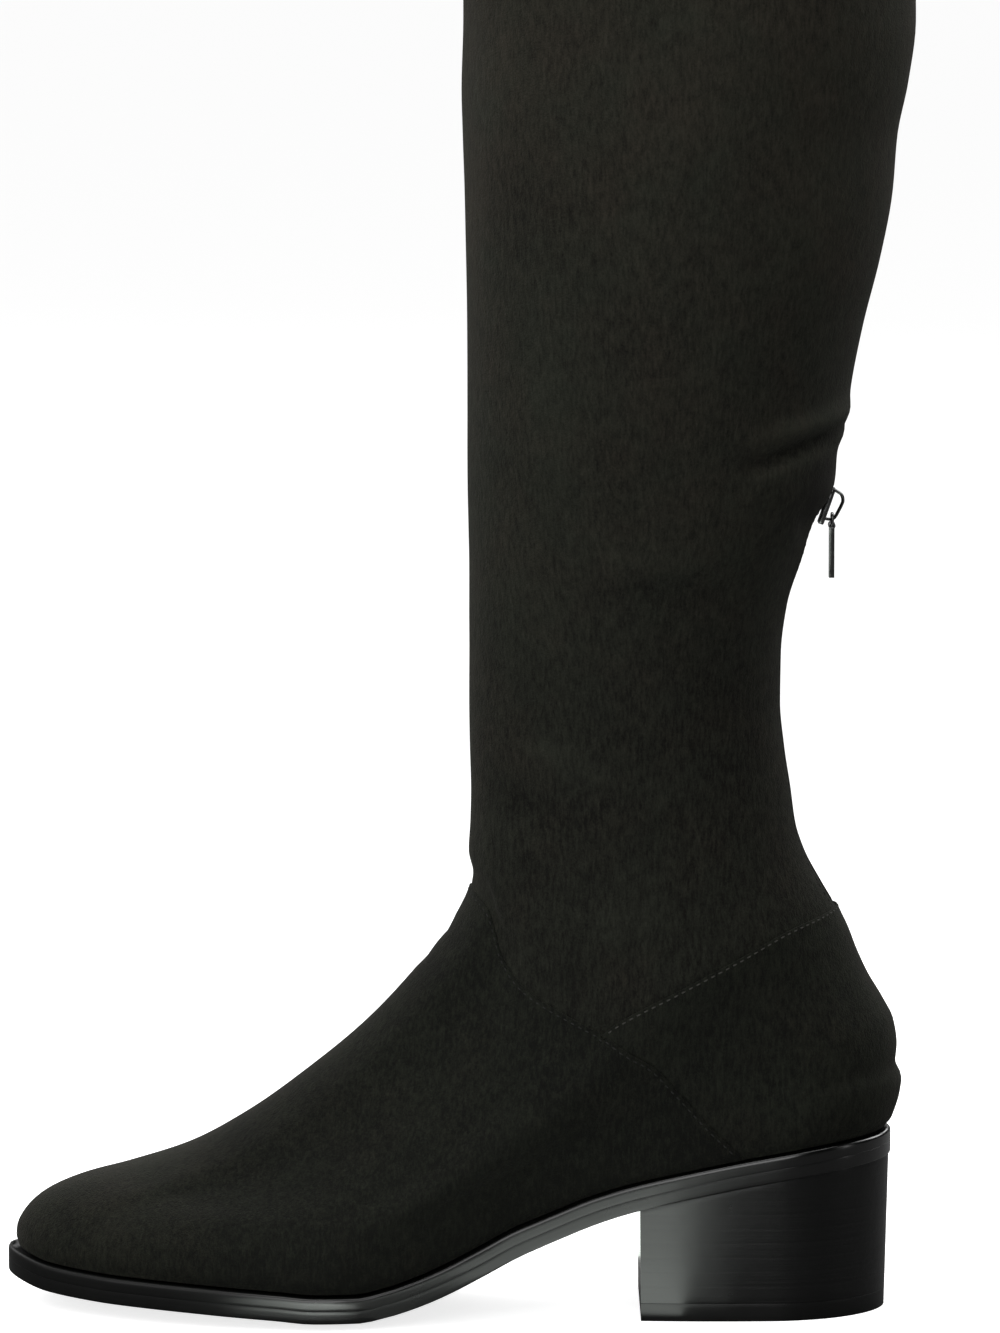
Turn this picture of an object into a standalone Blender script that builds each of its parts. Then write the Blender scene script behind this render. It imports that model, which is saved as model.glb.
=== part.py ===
"""Over-the-knee boot for a left foot, empty and standing on its sole, in metres.

The toe points to -X, the outer (lateral) side of the foot faces -Y, and +Z is up.
The origin is on the floor, under the middle of the heel's top piece.

Places along the foot are stations, measured forward from the back edge of the sole.
Every soft part is worked out from one function, ring_point: a ring of the upper runs
from a point on the front ridge, down both sides of the leg or foot, to a point on the
back line. The rings lie flat in the shaft and fan out over the foot, down to the
feather line, where the upper meets the midsole.
"""

import math
from collections import namedtuple

import bmesh
import bpy
from mathutils import Matrix, Vector

COLLECTION = "over_the_knee_boot"

# ---------------------------------------------------------------- driving sizes
SOLE_LENGTH = 0.258          # outsole, heel to toe, along the floor
HEEL_BACK = 0.037            # x of the back edge of the sole
FIT_GAP = 0.0003             # between pieces that touch
FEATHER_GAP = 0.0005         # under the upper, whose edge follows the midsole in facets
WELT_TOE = 0.003             # how far the midsole stands out past the upper, at the toe
WELT_HEEL = 0.0012           # and around the heel

OUTSOLE_THICKNESS = 0.0036
MIDSOLE_THICKNESS = 0.0036
INSOLE_THICKNESS = 0.0025
INSET_RUN = (0.06, 0.13)     # stations between which heel insets turn into toe insets
EDGE_ROUND = 0.0005          # rounding of the sole's edges
EDGE_ANGLE = math.radians(50)    # sharper edges than this are rounded
SOLE_STATIONS = 27
ACROSS = (-1, -0.7, -0.4, 0.4, 0.7, 1)    # columns of the sole's layers, of the half-width

HEEL_LENGTH = 0.0735         # back edge to breast, at the seat
HEEL_TAPER_BACK = 0.0012     # how far each side draws in from seat to floor
HEEL_TAPER_SIDE = 0.0012
HEEL_TAPER_BREAST = 0.0003
HEEL_INSET = 0.0005          # heel inside the sole's outline
LIFT_THICKNESS = 0.0052
HEEL_STATIONS = 16

WALL_SHAFT = 0.0018          # stretch suede with its backing
WALL_COUNTER = 0.0023        # the heel counter laps over the shaft
WALL_VAMP = 0.0027           # the vamp laps over the counter and the shaft
WALL_HEM = 0.0023            # turned hem at the collar
SEAM_STEP = 0.0005           # run of the step at a lapped edge

ZIP_SLOT_HALF = 0.0038       # half the opening between the shaft's two back edges
TAPE_EDGE = 0.0115           # half-width of the zip with both tapes
TAPE_INNER = 0.0002
TAPE_THICKNESS = 0.0007
CHAIN_HALF = 0.0024
CHAIN_THICKNESS = 0.0011
CHAIN_END_GAP = 0.001        # from the chain to each end of the slot
TOOTH_PITCH = 0.0036
TOOTH_NOTCH = 0.0007         # how far the gap between two teeth cuts in

SLIDER_LENGTH = 0.011
SLIDER_HALF = 0.0033
SLIDER_PLATE = 0.0008
SLIDER_FLANGE = 0.0006       # thickness of the sides that reach down past the chain
SLIDER_REACH = 0.0017        # height of those sides with the plate
SLIDER_TOP_GAP = 0.001       # from the slider to the top of the slot
SLIDER_ROUND = 0.00013       # rounding of its edges
BRIDGE_WIDTH = 0.0022
BRIDGE_LENGTH = 0.0092
BRIDGE_THICKNESS = 0.0008
BRIDGE_HOLE = 0.0028         # height of its hole above the plate
BRIDGE_FOOT = 1 / 3          # straight part of that height, under the arch
BRIDGE_SILL = 0.00005        # the hole's floor above the plate
WIRE = 0.0004                # radius of the pull's link
WIRE_RESOLUTION = 2
BAR_OUT = 0.0020             # the link's upper bar, out from the middle of the plate
BAR_PLAY = 0.0006            # between that bar and the lower end of the hole
LINK_HALF = 0.0029           # from its middle to the middle of each leg
LINK_LENGTH = 0.0031         # from the upper bar down to the lower one
LINK_SWAY = 0.0002           # the lower bar hangs this much nearer the boot
TAB_WIDTH = 0.0044
TAB_LENGTH = 0.0152          # below the link's lower bar
TAB_THICKNESS = 0.0014
TAB_ROLL = 0.00105           # radius of its rolled top
TAB_ROUND = 0.0003           # rounding of its edges
RING_SIDES = 20              # facets of the round holes

FRONT_COLUMNS = 12           # ring columns from the front ridge to the vamp seam
BACK_COLUMNS = 7             # and from there to the zip tape
SHAFT_SPLIT = 0.45           # above the foot the two seam columns part and move back
SHAFT_SEAM_RUN = 0.006
SPLIT_RINGS = 4              # rings over which they part
TAPE_OVER = 2                # rings that the tapes run on past the slot
EDGE_SEARCH = (0.1, 0.9)     # shares of a ring between which the vamp's edge lies
SEARCH_ROUNDS = 40

MM = 0.001
SLOPE_STEP = 0.0005          # half the run over which the sole's slope is taken
WELD = 1e-6                  # vertices nearer than this become one
SLIVER = 1e-7                # edges shorter than this are dissolved
TINY = 1e-9                  # keeps a division from failing

# Finish of each material: name, colour, roughness and metallic.
Finish = namedtuple("Finish", "name colour roughness metallic")
FINISHES = {
    "suede": Finish("black suede", (0.014, 0.0135, 0.011), 0.9, 0),
    "lining": Finish("black lining", (0.02, 0.02, 0.02), 0.8, 0),
    "sole": Finish("polished black sole", (0.012, 0.012, 0.012), 0.3, 0),
    "heel": Finish("stacked black heel", (0.014, 0.014, 0.014), 0.25, 0),
    "lift": Finish("black heel rubber", (0.02, 0.02, 0.02), 0.5, 0),
    "metal": Finish("dark nickel", (0.35, 0.35, 0.36), 0.25, 1),
}

# ---------------------------------------------------------------- tables, in mm
# Plan of the sole: how far its middle lies to the inner side, and its half-width.
# outline() rounds off both ends.
Plan = namedtuple("Plan", "station middle half")
SOLE_PLAN = (
    Plan(0, 0.0, 29.0),
    Plan(30, 0.0, 30.3),
    Plan(60, -0.7, 29.6),
    Plan(90, -1.8, 28.6),
    Plan(110, -2.3, 29.5),
    Plan(130, -2.8, 33.4),
    Plan(150, -2.8, 38.8),
    Plan(166, -2.0, 42.0),
    Plan(186, 0.5, 43.0),
    Plan(206, 2.5, 41.0),
    Plan(226, 4.6, 39.2),
    Plan(240, 5.2, 37.0),
    Plan(258, 5.4, 36.0),
)
HEEL_ROUND = 34              # length over which the heel end is rounded
TOE_ROUND = 64               # and the toe end

# Underside of the outsole along its middle: heel seat, arch, flat tread, toe spring.
Height = namedtuple("Height", "station z")
TREAD_FLAT = (155, 168)
SOLE_BOTTOM = (
    Height(0, 45.2),
    Height(19, 43.4),
    Height(38, 40.3),
    Height(56, 36.7),
    Height(74, 32.6),
    Height(85, 29.2),
    Height(95, 25.2),
    Height(107, 20.0),
    Height(118, 14.0),
    Height(129, 8.3),
    Height(138, 4.3),
    Height(146, 1.6),
    Height(155, 0.0),
    Height(168, 0.0),
    Height(178, 0.8),
    Height(194, 1.8),
    Height(212, 2.7),
    Height(230, 3.7),
    Height(246, 5.3),
    Height(258, 8.4),
)

# How far the tread's two edges stand above its middle.
Lift = namedtuple("Lift", "station rise")
EDGE_LIFT = (Lift(104, 0), Lift(129, 0.9), Lift(150, 2.1), Lift(200, 2.1), Lift(258, 0.8))
TREAD_SHARE = 0.4            # flat part of the tread's width

# One row for each ring of the upper, from the feather line up.
#   front_s, front_z  the point on the front ridge     back_s, back_z  on the back line
#   half    half-width      plan    share of the sole's plan in the ring's own plan
#   sole    share of the sole's rise and fall          seam    share of the seam's dip
Ring = namedtuple("Ring", "front_s front_z back_s back_z half plan sole seam")
FOOT_RINGS = (
    Ring(255.0, 15.4, 1.2, 52.8, 40.0, 1.00, 1.00, 0.00),
    Ring(254.6, 20.6, -0.7, 57.6, 40.4, 1.00, 0.95, 0.00),
    Ring(252.2, 25.4, -2.1, 62.4, 40.6, 0.96, 0.88, 0.04),
    Ring(246.6, 30.6, -2.6, 66.6, 40.4, 0.90, 0.80, 0.10),
    Ring(236.5, 35.3, -0.8, 71.6, 40.0, 0.83, 0.71, 0.17),
    Ring(222.5, 39.3, -1.2, 76.8, 39.4, 0.74, 0.61, 0.25),
    Ring(205.0, 45.2, -0.2, 83.6, 38.6, 0.62, 0.50, 0.35),
    Ring(187.6, 54.9, 3.0, 90.2, 37.6, 0.48, 0.38, 0.48),
    Ring(170.2, 67.6, 7.4, 97.6, 36.6, 0.34, 0.26, 0.62),
    Ring(152.8, 82.4, 10.8, 104.9, 35.6, 0.20, 0.15, 0.76),
    Ring(137.2, 99.2, 13.2, 111.2, 34.9, 0.10, 0.07, 0.89),
    Ring(129.2, 109.6, 15.0, 115.0, 34.6, 0.04, 0.03, 0.95),
    Ring(122.4, 123.8, 16.4, 118.0, 34.4, 0.00, 0.00, 1.00),
)
SHAFT_RINGS = (
    Ring(121.9, 127.5, 20.2, 124.6, 33.9, 0, 0, 0.86),
    Ring(123.2, 134.0, 25.0, 133.8, 33.4, 0, 0, 0.66),
    Ring(122.6, 143.0, 27.8, 142.6, 33.0, 0, 0, 0.44),
    Ring(122.3, 153.0, 29.4, 153.0, 33.0, 0, 0, 0.24),
    Ring(122.5, 165.0, 31.4, 165.0, 33.4, 0, 0, 0.09),
    Ring(122.7, 178.0, 32.7, 178.0, 34.2, 0, 0, 0),
    Ring(122.8, 192.0, 32.5, 192.0, 35.6, 0, 0, 0),
    Ring(123.0, 206.0, 30.7, 206.0, 37.6, 0, 0, 0),
    Ring(123.0, 218.0, 26.6, 218.0, 39.6, 0, 0, 0),
    Ring(123.1, 228.0, 21.3, 228.0, 41.4, 0, 0, 0),
    Ring(123.2, 240.5, 16.9, 240.5, 43.2, 0, 0, 0),
    Ring(123.2, 251.0, 17.0, 251.0, 45.0, 0, 0, 0),
    Ring(123.2, 257.5, 14.5, 257.5, 46.0, 0, 0, 0),
    Ring(123.3, 268.0, 13.2, 268.0, 47.4, 0, 0, 0),
    Ring(123.6, 287.0, 9.4, 287.0, 50.0, 0, 0, 0),
    Ring(123.9, 307.0, 4.5, 307.0, 52.4, 0, 0, 0),
    Ring(124.1, 326.0, 1.0, 326.0, 54.2, 0, 0, 0),
    Ring(124.6, 342.0, -0.3, 342.0, 55.4, 0, 0, 0),
    Ring(125.1, 357.0, -3.2, 357.0, 56.2, 0, 0, 0),
    Ring(124.8, 375.0, -5.2, 375.0, 56.6, 0, 0, 0),
    Ring(124.9, 402.0, -4.6, 402.0, 56.0, 0, 0, 0),
    Ring(125.6, 432.0, -0.8, 432.0, 54.4, 0, 0, 0),
    Ring(127.0, 461.0, 5.0, 461.0, 53.2, 0, 0, 0),
    Ring(128.6, 489.0, 8.0, 489.0, 53.4, 0, 0, 0),
    Ring(129.8, 518.0, 5.8, 518.0, 55.2, 0, 0, 0),
    Ring(130.4, 548.0, 1.0, 548.0, 57.4, 0, 0, 0),
    Ring(130.6, 576.0, -2.6, 576.0, 59.2, 0, 0, 0),
    Ring(130.6, 590.0, -3.8, 590.0, 60.0, 0, 0, 0),
)
ZIP_TOP_RING = 10            # the shaft ring at which the zip's slot ends

# How far the top edge of vamp and counter dips below the straight line from the
# instep to the back line. The two edges meet in a point.
Dip = namedtuple("Dip", "share depth")
VAMP_DIP = (
    Dip(0, 0),
    Dip(0.05, 5.0),
    Dip(0.085, 17.0),
    Dip(0.132, 24.5),
    Dip(0.192, 28.8),
    Dip(0.287, 33.6),
    Dip(0.357, 37.0),
)
COUNTER_DIP = (
    Dip(0.357, 37.0),
    Dip(0.39, 33.8),
    Dip(0.567, 22.6),
    Dip(0.727, 13.1),
    Dip(0.868, 5.0),
    Dip(1, 0),
)

# Where the vamp's edge runs down over the counter to the sole.
VAMP_EDGE = (
    Height(42, 46.0),
    Height(47.7, 51.8),
    Height(52.0, 55.9),
    Height(62.1, 67.1),
    Height(69.9, 75.3),
    Height(78.0, 80.3),
    Height(84.5, 85.3),
)


# ---------------------------------------------------------------- curves
def smooth(table, x):
    """Monotone cubic through a table of pairs, held at both ends."""
    xs = [row[0] for row in table]
    ys = [row[1] for row in table]
    if x <= xs[0]:
        return ys[0]
    if x >= xs[-1]:
        return ys[-1]
    slopes = [(y1 - y0) / (x1 - x0) for x0, x1, y0, y1 in zip(xs, xs[1:], ys, ys[1:])]
    tangents = [slopes[0]]
    for before, after in zip(slopes, slopes[1:]):
        tangents.append(0 if before * after <= 0 else 2 * before * after / (before + after))
    tangents.append(slopes[-1])
    i = next(k for k in range(len(xs) - 1) if x <= xs[k + 1])
    run = xs[i + 1] - xs[i]
    t = (x - xs[i]) / run
    return (
        ys[i] * (1 + 2 * t) * (1 - t) ** 2
        + ys[i + 1] * t * t * (3 - 2 * t)
        + run * (tangents[i] * t * (1 - t) ** 2 - tangents[i + 1] * t * t * (1 - t))
    )


def end_rounding(distance, radius):
    """1 away from an end, falling to 0 at the end itself as an ellipse does."""
    if distance >= radius:
        return 1.0
    return math.sqrt(max(0.0, 1 - (1 - distance / radius) ** 2))


def outline(station, heel_inset, toe_inset):
    """Middle line and half-width of the sole's plan at a station, drawn in by the insets."""
    middle = smooth([(r.station, r.middle) for r in SOLE_PLAN], station / MM) * MM
    half = smooth([(r.station, r.half) for r in SOLE_PLAN], station / MM) * MM
    half -= smooth(tuple(zip(INSET_RUN, (heel_inset, toe_inset))), station)
    heel = end_rounding(station - heel_inset, HEEL_ROUND * MM - heel_inset)
    toe = end_rounding(SOLE_LENGTH - toe_inset - station, TOE_ROUND * MM - toe_inset)
    return middle, half * heel * toe


def sole_height(station, lift, across=1.0):
    """Height of a layer that lies lift above the outsole's underside, square to it.

    across runs from 0 at the sole's middle line to 1 at its edges.
    """
    before = smooth(SOLE_BOTTOM, (station - SLOPE_STEP) / MM)
    after = smooth(SOLE_BOTTOM, (station + SLOPE_STEP) / MM)
    lean = math.hypot(1, (after - before) * MM / (2 * SLOPE_STEP))
    curl = max(0.0, across - TREAD_SHARE) / (1 - TREAD_SHARE)
    bottom = smooth(SOLE_BOTTOM, station / MM) + smooth(EDGE_LIFT, station / MM) * curl
    return bottom * MM + lift * lean


MIDSOLE_BOTTOM = OUTSOLE_THICKNESS + FIT_GAP
MIDSOLE_TOP = MIDSOLE_BOTTOM + MIDSOLE_THICKNESS
FEATHER = MIDSOLE_TOP + FEATHER_GAP


def seam_dip(share):
    """Depth of the dip of vamp and counter at a share of the way back."""
    table = VAMP_DIP if share < VAMP_DIP[-1].share else COUNTER_DIP
    return smooth(table, share) * MM


def ring_point(ring, angle, side):
    """A point on the outside of the upper.

    angle runs from 0 at the front ridge to pi at the back line, and side is -1 on the
    outer side of the foot and +1 on the inner side.
    """
    feather = FOOT_RINGS[0]
    share = (1 - math.cos(angle)) / 2
    station = (ring.front_s + (ring.back_s - ring.front_s) * share) * MM
    sole_station = (feather.front_s + (feather.back_s - feather.front_s) * share) * MM
    middle, half = outline(sole_station, WELT_HEEL, WELT_TOE)
    round_half = ring.half * MM * math.sin(angle)
    sole_half = half * ring.half / feather.half
    width = (1 - ring.plan) * round_half + ring.plan * sole_half
    y = ring.plan * middle + side * width
    chord = (ring.front_z + (ring.back_z - ring.front_z) * share) * MM
    sole_chord = (feather.front_z + (feather.back_z - feather.front_z) * share) * MM
    sag = sole_height(sole_station, FEATHER) - sole_chord
    z = chord + ring.sole * sag - ring.seam * seam_dip(share)
    return Vector((HEEL_BACK - station, y, z))


def angle_at(share):
    """Ring angle at a share of the way from the front ridge to the back line."""
    return math.acos(1 - 2 * share)


def vamp_share(ring):
    """Share of the way back at which the vamp's edge crosses a ring of the foot."""
    low, high = EDGE_SEARCH
    for _ in range(SEARCH_ROUNDS):
        middle = (low + high) / 2
        point = ring_point(ring, angle_at(middle), -1)
        if point.z > smooth(VAMP_EDGE, (HEEL_BACK - point.x) / MM) * MM:
            high = middle
        else:
            low = middle
    return middle


def ring_angles(ring, split, seam_run):
    """Angles of one side's columns: front ridge, vamp, seam pair, side, zip, back line."""
    depth = abs(ring.front_s - ring.back_s) * MM
    before = angle_at(split - seam_run / 2 / depth)
    after = angle_at(split + seam_run / 2 / depth)
    tape = math.pi - math.asin(TAPE_EDGE / back_half(ring))
    slot = math.pi - math.asin(ZIP_SLOT_HALF / back_half(ring))
    front = [before * i / FRONT_COLUMNS for i in range(FRONT_COLUMNS)]
    back = [after + (tape - after) * i / BACK_COLUMNS for i in range(1, BACK_COLUMNS)]
    return front + [before, after] + back + [tape, slot, math.pi]


def back_half(ring):
    """Half-width that sets how fast a ring widens from the back line."""
    return ring.half * MM * (1 - ring.plan) + ring.plan * SOLE_PLAN[0].half * MM


SEAM_COLUMN = FRONT_COLUMNS                 # last column of the vamp
SLOT_COLUMN = FRONT_COLUMNS + BACK_COLUMNS + 2
BACK_COLUMN = SLOT_COLUMN + 1


def raised(ring, rise):
    """The same ring, higher by rise."""
    rise /= MM
    return ring._replace(front_z=ring.front_z + rise, back_z=ring.back_z + rise)


Row = namedtuple("Row", "ring split seam_run vamp_wall counter_wall")


def upper_rows():
    """Every ring of the upper from feather line to collar, with its seam and walls."""
    rows = []
    for ring in FOOT_RINGS[:-1]:
        rows.append(Row(ring, vamp_share(ring), SEAM_STEP, WALL_VAMP, WALL_COUNTER))
    junction = VAMP_DIP[-1].share
    top = FOOT_RINGS[-1]
    rows.append(Row(top, junction, SEAM_STEP, WALL_VAMP, WALL_COUNTER))
    rows.append(Row(raised(top, SEAM_STEP), junction, SEAM_STEP, WALL_SHAFT, WALL_SHAFT))
    for i, ring in enumerate(SHAFT_RINGS[:-2]):
        part = min(1, (i + 1) / SPLIT_RINGS)
        split = junction + (SHAFT_SPLIT - junction) * part
        run = SEAM_STEP + (SHAFT_SEAM_RUN - SEAM_STEP) * part
        rows.append(Row(ring, split, run, WALL_SHAFT, WALL_SHAFT))
    hem, collar = SHAFT_RINGS[-2:]
    shaft = Row(raised(hem, -SEAM_STEP), SHAFT_SPLIT, SHAFT_SEAM_RUN, WALL_SHAFT, WALL_SHAFT)
    rows.append(shaft)
    rows.append(shaft._replace(ring=hem, vamp_wall=WALL_HEM, counter_wall=WALL_HEM))
    rows.append(rows[-1]._replace(ring=collar))
    return rows


# ---------------------------------------------------------------- Blender helpers
def clear_scene():
    """Removes every object of the scene."""
    for obj in list(bpy.data.objects):
        bpy.data.objects.remove(obj, do_unlink=True)


def material(finish):
    """Makes the material of a finish."""
    made = bpy.data.materials.new(finish.name)
    made.use_nodes = True
    shader = made.node_tree.nodes["Principled BSDF"]
    shader.inputs["Base Color"].default_value = (*finish.colour, 1)
    shader.inputs["Roughness"].default_value = finish.roughness
    shader.inputs["Metallic"].default_value = finish.metallic
    return made


def add_object(name, bm, look, home):
    """Makes an object of a bmesh and frees the bmesh."""
    mesh = bpy.data.meshes.new(name)
    bm.to_mesh(mesh)
    bm.free()
    obj = bpy.data.objects.new(name, mesh)
    mesh.materials.append(look)
    home.objects.link(obj)
    return obj


def grid(across, along):
    """A flat grid whose vertices know their column and row, and a function that reads them."""
    bm = bmesh.new()
    bmesh.ops.create_grid(bm, x_segments=across, y_segments=along, size=1)

    def cell(point):
        return (point.x + 1) / 2 * across, (point.y + 1) / 2 * along

    return bm, cell


def weld(bm):
    """Merges doubled vertices and takes out slivers."""
    bmesh.ops.remove_doubles(bm, verts=bm.verts[:], dist=WELD)
    bmesh.ops.dissolve_degenerate(bm, edges=bm.edges[:], dist=SLIVER)


def round_edges(obj, width):
    """Breaks an object's sharp edges with a bevel."""
    bevel = obj.modifiers.new("rounded edges", "BEVEL")
    bevel.width = width
    bevel.segments = 1
    bevel.limit_method = "ANGLE"
    bevel.angle_limit = EDGE_ANGLE


# ---------------------------------------------------------------- sole
def stations(back, front, count):
    """Stations from back to front, close together at the ends, with two on the tread's flat."""
    middle, reach = (back + front) / 2, (front - back) / 2
    found = [middle - reach * math.cos(math.pi * i / count) for i in range(count + 1)]
    for limit in (mark * MM for mark in TREAD_FLAT):
        if back < limit < front:
            nearest = min(range(count + 1), key=lambda i: abs(found[i] - limit))
            found[nearest] = limit
    return found


def layer(name, insets, low, high, look, home):
    """A layer of the sole, between two lifts above the underside of the outsole."""
    marks = stations(insets[0], SOLE_LENGTH - insets[1], SOLE_STATIONS)
    bm, cell = grid(len(ACROSS) - 1, SOLE_STATIONS)
    across = {}
    for vertex in bm.verts:
        column, row = (round(value) for value in cell(vertex.co))
        middle, half = outline(marks[row], *insets)
        full = outline(marks[row], 0, 0)[1]
        across[vertex] = abs(ACROSS[column]) * half / full if full else 0
        height = sole_height(marks[row], low, across[vertex])
        vertex.co = (HEEL_BACK - marks[row], middle + ACROSS[column] * half, height)
    tops = {tuple(v.co): sole_height(HEEL_BACK - v.co.x, high, across[v]) for v in bm.verts}
    weld(bm)
    bmesh.ops.recalc_face_normals(bm, faces=bm.faces[:])
    moved = bmesh.ops.extrude_face_region(bm, geom=bm.faces[:])
    for vertex in (v for v in moved["geom"] if isinstance(v, bmesh.types.BMVert)):
        vertex.co.z = tops[tuple(vertex.co)]
    bmesh.ops.recalc_face_normals(bm, faces=bm.faces[:])
    round_edges(add_object(name, bm, look, home), EDGE_ROUND)


def heel_plan(share, side, drop):
    """A point on the heel's plan; drop is 0 at the seat and 1 at the floor."""
    reach = HEEL_LENGTH - HEEL_INSET
    station = HEEL_INSET + reach * (1 - math.cos(math.pi / 2 * share))
    middle, half = outline(station, HEEL_INSET, HEEL_INSET)
    along = (station - HEEL_INSET) / reach
    station += drop * (HEEL_TAPER_BACK * (1 - along) - HEEL_TAPER_BREAST * along)
    half *= 1 - drop * HEEL_TAPER_SIDE / (SOLE_PLAN[0].half * MM)
    return Vector((HEEL_BACK - station, middle + side * half, 0))


def heel_piece(name, top_of, bottom, drops, look, home):
    """A block on the heel's plan: top_of gives its top, bottom its underside."""
    bm, cell = grid(1, HEEL_STATIONS)
    rows = {}
    for vertex in bm.verts:
        side, row = (round(value) for value in cell(vertex.co))
        rows[vertex] = (row / HEEL_STATIONS, side * 2 - 1)
        vertex.co = heel_plan(*rows[vertex], drops[0])
        vertex.co.z = top_of(vertex.co.x)
    taper = {tuple(v.co): heel_plan(*rows[v], drops[1]) for v in bm.verts}
    raised = bmesh.ops.extrude_face_region(bm, geom=bm.faces[:])
    for vertex in (v for v in raised["geom"] if isinstance(v, bmesh.types.BMVert)):
        vertex.co = taper[tuple(vertex.co)]
        vertex.co.z = bottom
    weld(bm)
    bmesh.ops.recalc_face_normals(bm, faces=bm.faces[:])
    round_edges(add_object(name, bm, look, home), EDGE_ROUND)


def build_sole(looks, home):
    """Outsole, midsole, insole, heel and its top piece, from the floor up."""

    def seat(x):
        return sole_height(HEEL_BACK - x, 0) - FIT_GAP

    def lift_top(_):
        return LIFT_THICKNESS

    layer("outsole", (0, 0), 0, OUTSOLE_THICKNESS, looks["sole"], home)
    layer("midsole", (0, 0), MIDSOLE_BOTTOM, MIDSOLE_TOP, looks["sole"], home)
    clear_of_wall = WALL_VAMP + 2 * FIT_GAP
    insole_insets = (WELT_HEEL + clear_of_wall, WELT_TOE + clear_of_wall)
    insole_low = MIDSOLE_TOP + FIT_GAP
    insole_high = insole_low + INSOLE_THICKNESS
    layer("insole", insole_insets, insole_low, insole_high, looks["lining"], home)
    lift_line = LIFT_THICKNESS + FIT_GAP
    heel_height = sole_height(HEEL_LENGTH / 2, 0)
    drop = 1 - LIFT_THICKNESS / heel_height
    heel_piece("heel", seat, lift_line, (0, drop), looks["heel"], home)
    heel_piece("heel_lift", lift_top, 0, (drop, 1), looks["lift"], home)


# ---------------------------------------------------------------- upper
def upper_skin(rows):
    """The outer skin of the shaft and foot as an open surface, before the laps are raised.

    Returns the bmesh, the column and level of each vertex, and the skin of the back:
    place and normal for each column from tape edge to tape edge, level by level.
    """
    around = 2 * BACK_COLUMN
    bm, cell = grid(around, len(rows) - 1)
    bm.verts.layers.deform.verify()
    places = {}
    for vertex in bm.verts:
        column, level = (round(value) for value in cell(vertex.co))
        places[vertex] = (column, level)
        row = rows[level]
        angle = ring_angles(row.ring, row.split, row.seam_run)[min(column, around - column)]
        vertex.co = ring_point(row.ring, angle, -1 if column <= BACK_COLUMN else 1)
    weld(bm)
    places = {vertex: place for vertex, place in places.items() if vertex.is_valid}
    bmesh.ops.recalc_face_normals(bm, faces=bm.faces[:])
    bm.normal_update()
    back = {}
    for vertex, (column, level) in places.items():
        offset = column - BACK_COLUMN
        if abs(offset) <= 2:
            back[offset, level] = (vertex.co.copy(), vertex.normal.copy())
    return bm, places, back


def build_upper(rows, look, home):
    """The upper, drawn on the inside of its wall, with Solidify outwards."""
    bm, places, back = upper_skin(rows)
    around = 2 * BACK_COLUMN
    foot = len(FOOT_RINGS)
    slot_levels = range(foot, foot + ZIP_TOP_RING + 1)
    slot_columns = range(SLOT_COLUMN, around - SLOT_COLUMN)
    opening = []
    for face in bm.faces:
        corners = [places[vertex] for vertex in face.verts]
        column, level = min(c for c, _ in corners), min(r for _, r in corners)
        if level in slot_levels and column in slot_columns:
            opening.append(face)

    weights = bm.verts.layers.deform.active
    inside = {}
    for vertex, (column, level) in places.items():
        row = rows[level]
        front = min(column, around - column) <= SEAM_COLUMN
        vertex[weights][0] = (row.vamp_wall if front else row.counter_wall) / WALL_VAMP
        inside[vertex] = vertex.co - vertex.normal * WALL_SHAFT
        if level == 0:
            floor = sole_height(HEEL_BACK - inside[vertex].x, FEATHER)
            inside[vertex].z = max(inside[vertex].z, floor)
    for vertex, place in inside.items():
        vertex.co = place
    bmesh.ops.delete(bm, geom=opening, context="FACES")

    obj = add_object("upper", bm, look, home)
    obj.vertex_groups.new(name="wall")
    shell = obj.modifiers.new("wall", "SOLIDIFY")
    shell.thickness = WALL_VAMP
    shell.offset = 1
    shell.vertex_group = "wall"
    return back


# ---------------------------------------------------------------- zip
def back_at(back, across, level, depth):
    """A point below the skin of the back, at a distance across from the back line."""
    side = 1 if across > 0 else -1
    if abs(across) <= ZIP_SLOT_HALF:
        first, share = 0, abs(across) / ZIP_SLOT_HALF
    else:
        first, share = 1, (abs(across) - ZIP_SLOT_HALF) / (TAPE_EDGE - ZIP_SLOT_HALF)
    low = min(int(level), max(r for _, r in back) - 1)

    def blend(part):
        near = back[side * first, low][part].lerp(back[side * first, low + 1][part], level - low)
        far_low = back[side * (first + 1), low][part]
        far = far_low.lerp(back[side * (first + 1), low + 1][part], level - low)
        return near.lerp(far, share)

    return blend(0) - blend(1) * depth


def strip(name, lines, levels, back, depth, thickness, look, home):
    """A band that follows the back line, with one line of across distances for each level."""
    columns = len(lines[0])
    bm, cell = grid(columns - 1, len(levels) - 1)
    for vertex in bm.verts:
        column, row = (round(value) for value in cell(vertex.co))
        vertex.co = back_at(back, lines[row][column], levels[row], depth)
    bmesh.ops.recalc_face_normals(bm, faces=bm.faces[:])
    obj = add_object(name, bm, look, home)
    shell = obj.modifiers.new("thickness", "SOLIDIFY")
    shell.thickness = thickness
    inward = obj.data.polygons[0].normal.x < 0
    shell.offset = 1 if inward else -1


def tooth_levels(back, low, high):
    """Levels of every tooth and every gap along the back line, bottom to top."""
    run = [0.0]
    for level in range(low, high):
        run.append(run[-1] + (back[0, level + 1][0] - back[0, level][0]).length)
    count = 2 * int((run[-1] - 2 * CHAIN_END_GAP) / TOOTH_PITCH)
    found = []
    for i in range(count + 1):
        place = CHAIN_END_GAP + i * TOOTH_PITCH / 2
        k = max(j for j in range(len(run) - 1) if run[j] <= place)
        found.append(low + k + (place - run[k]) / (run[k + 1] - run[k]))
    return found


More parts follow.
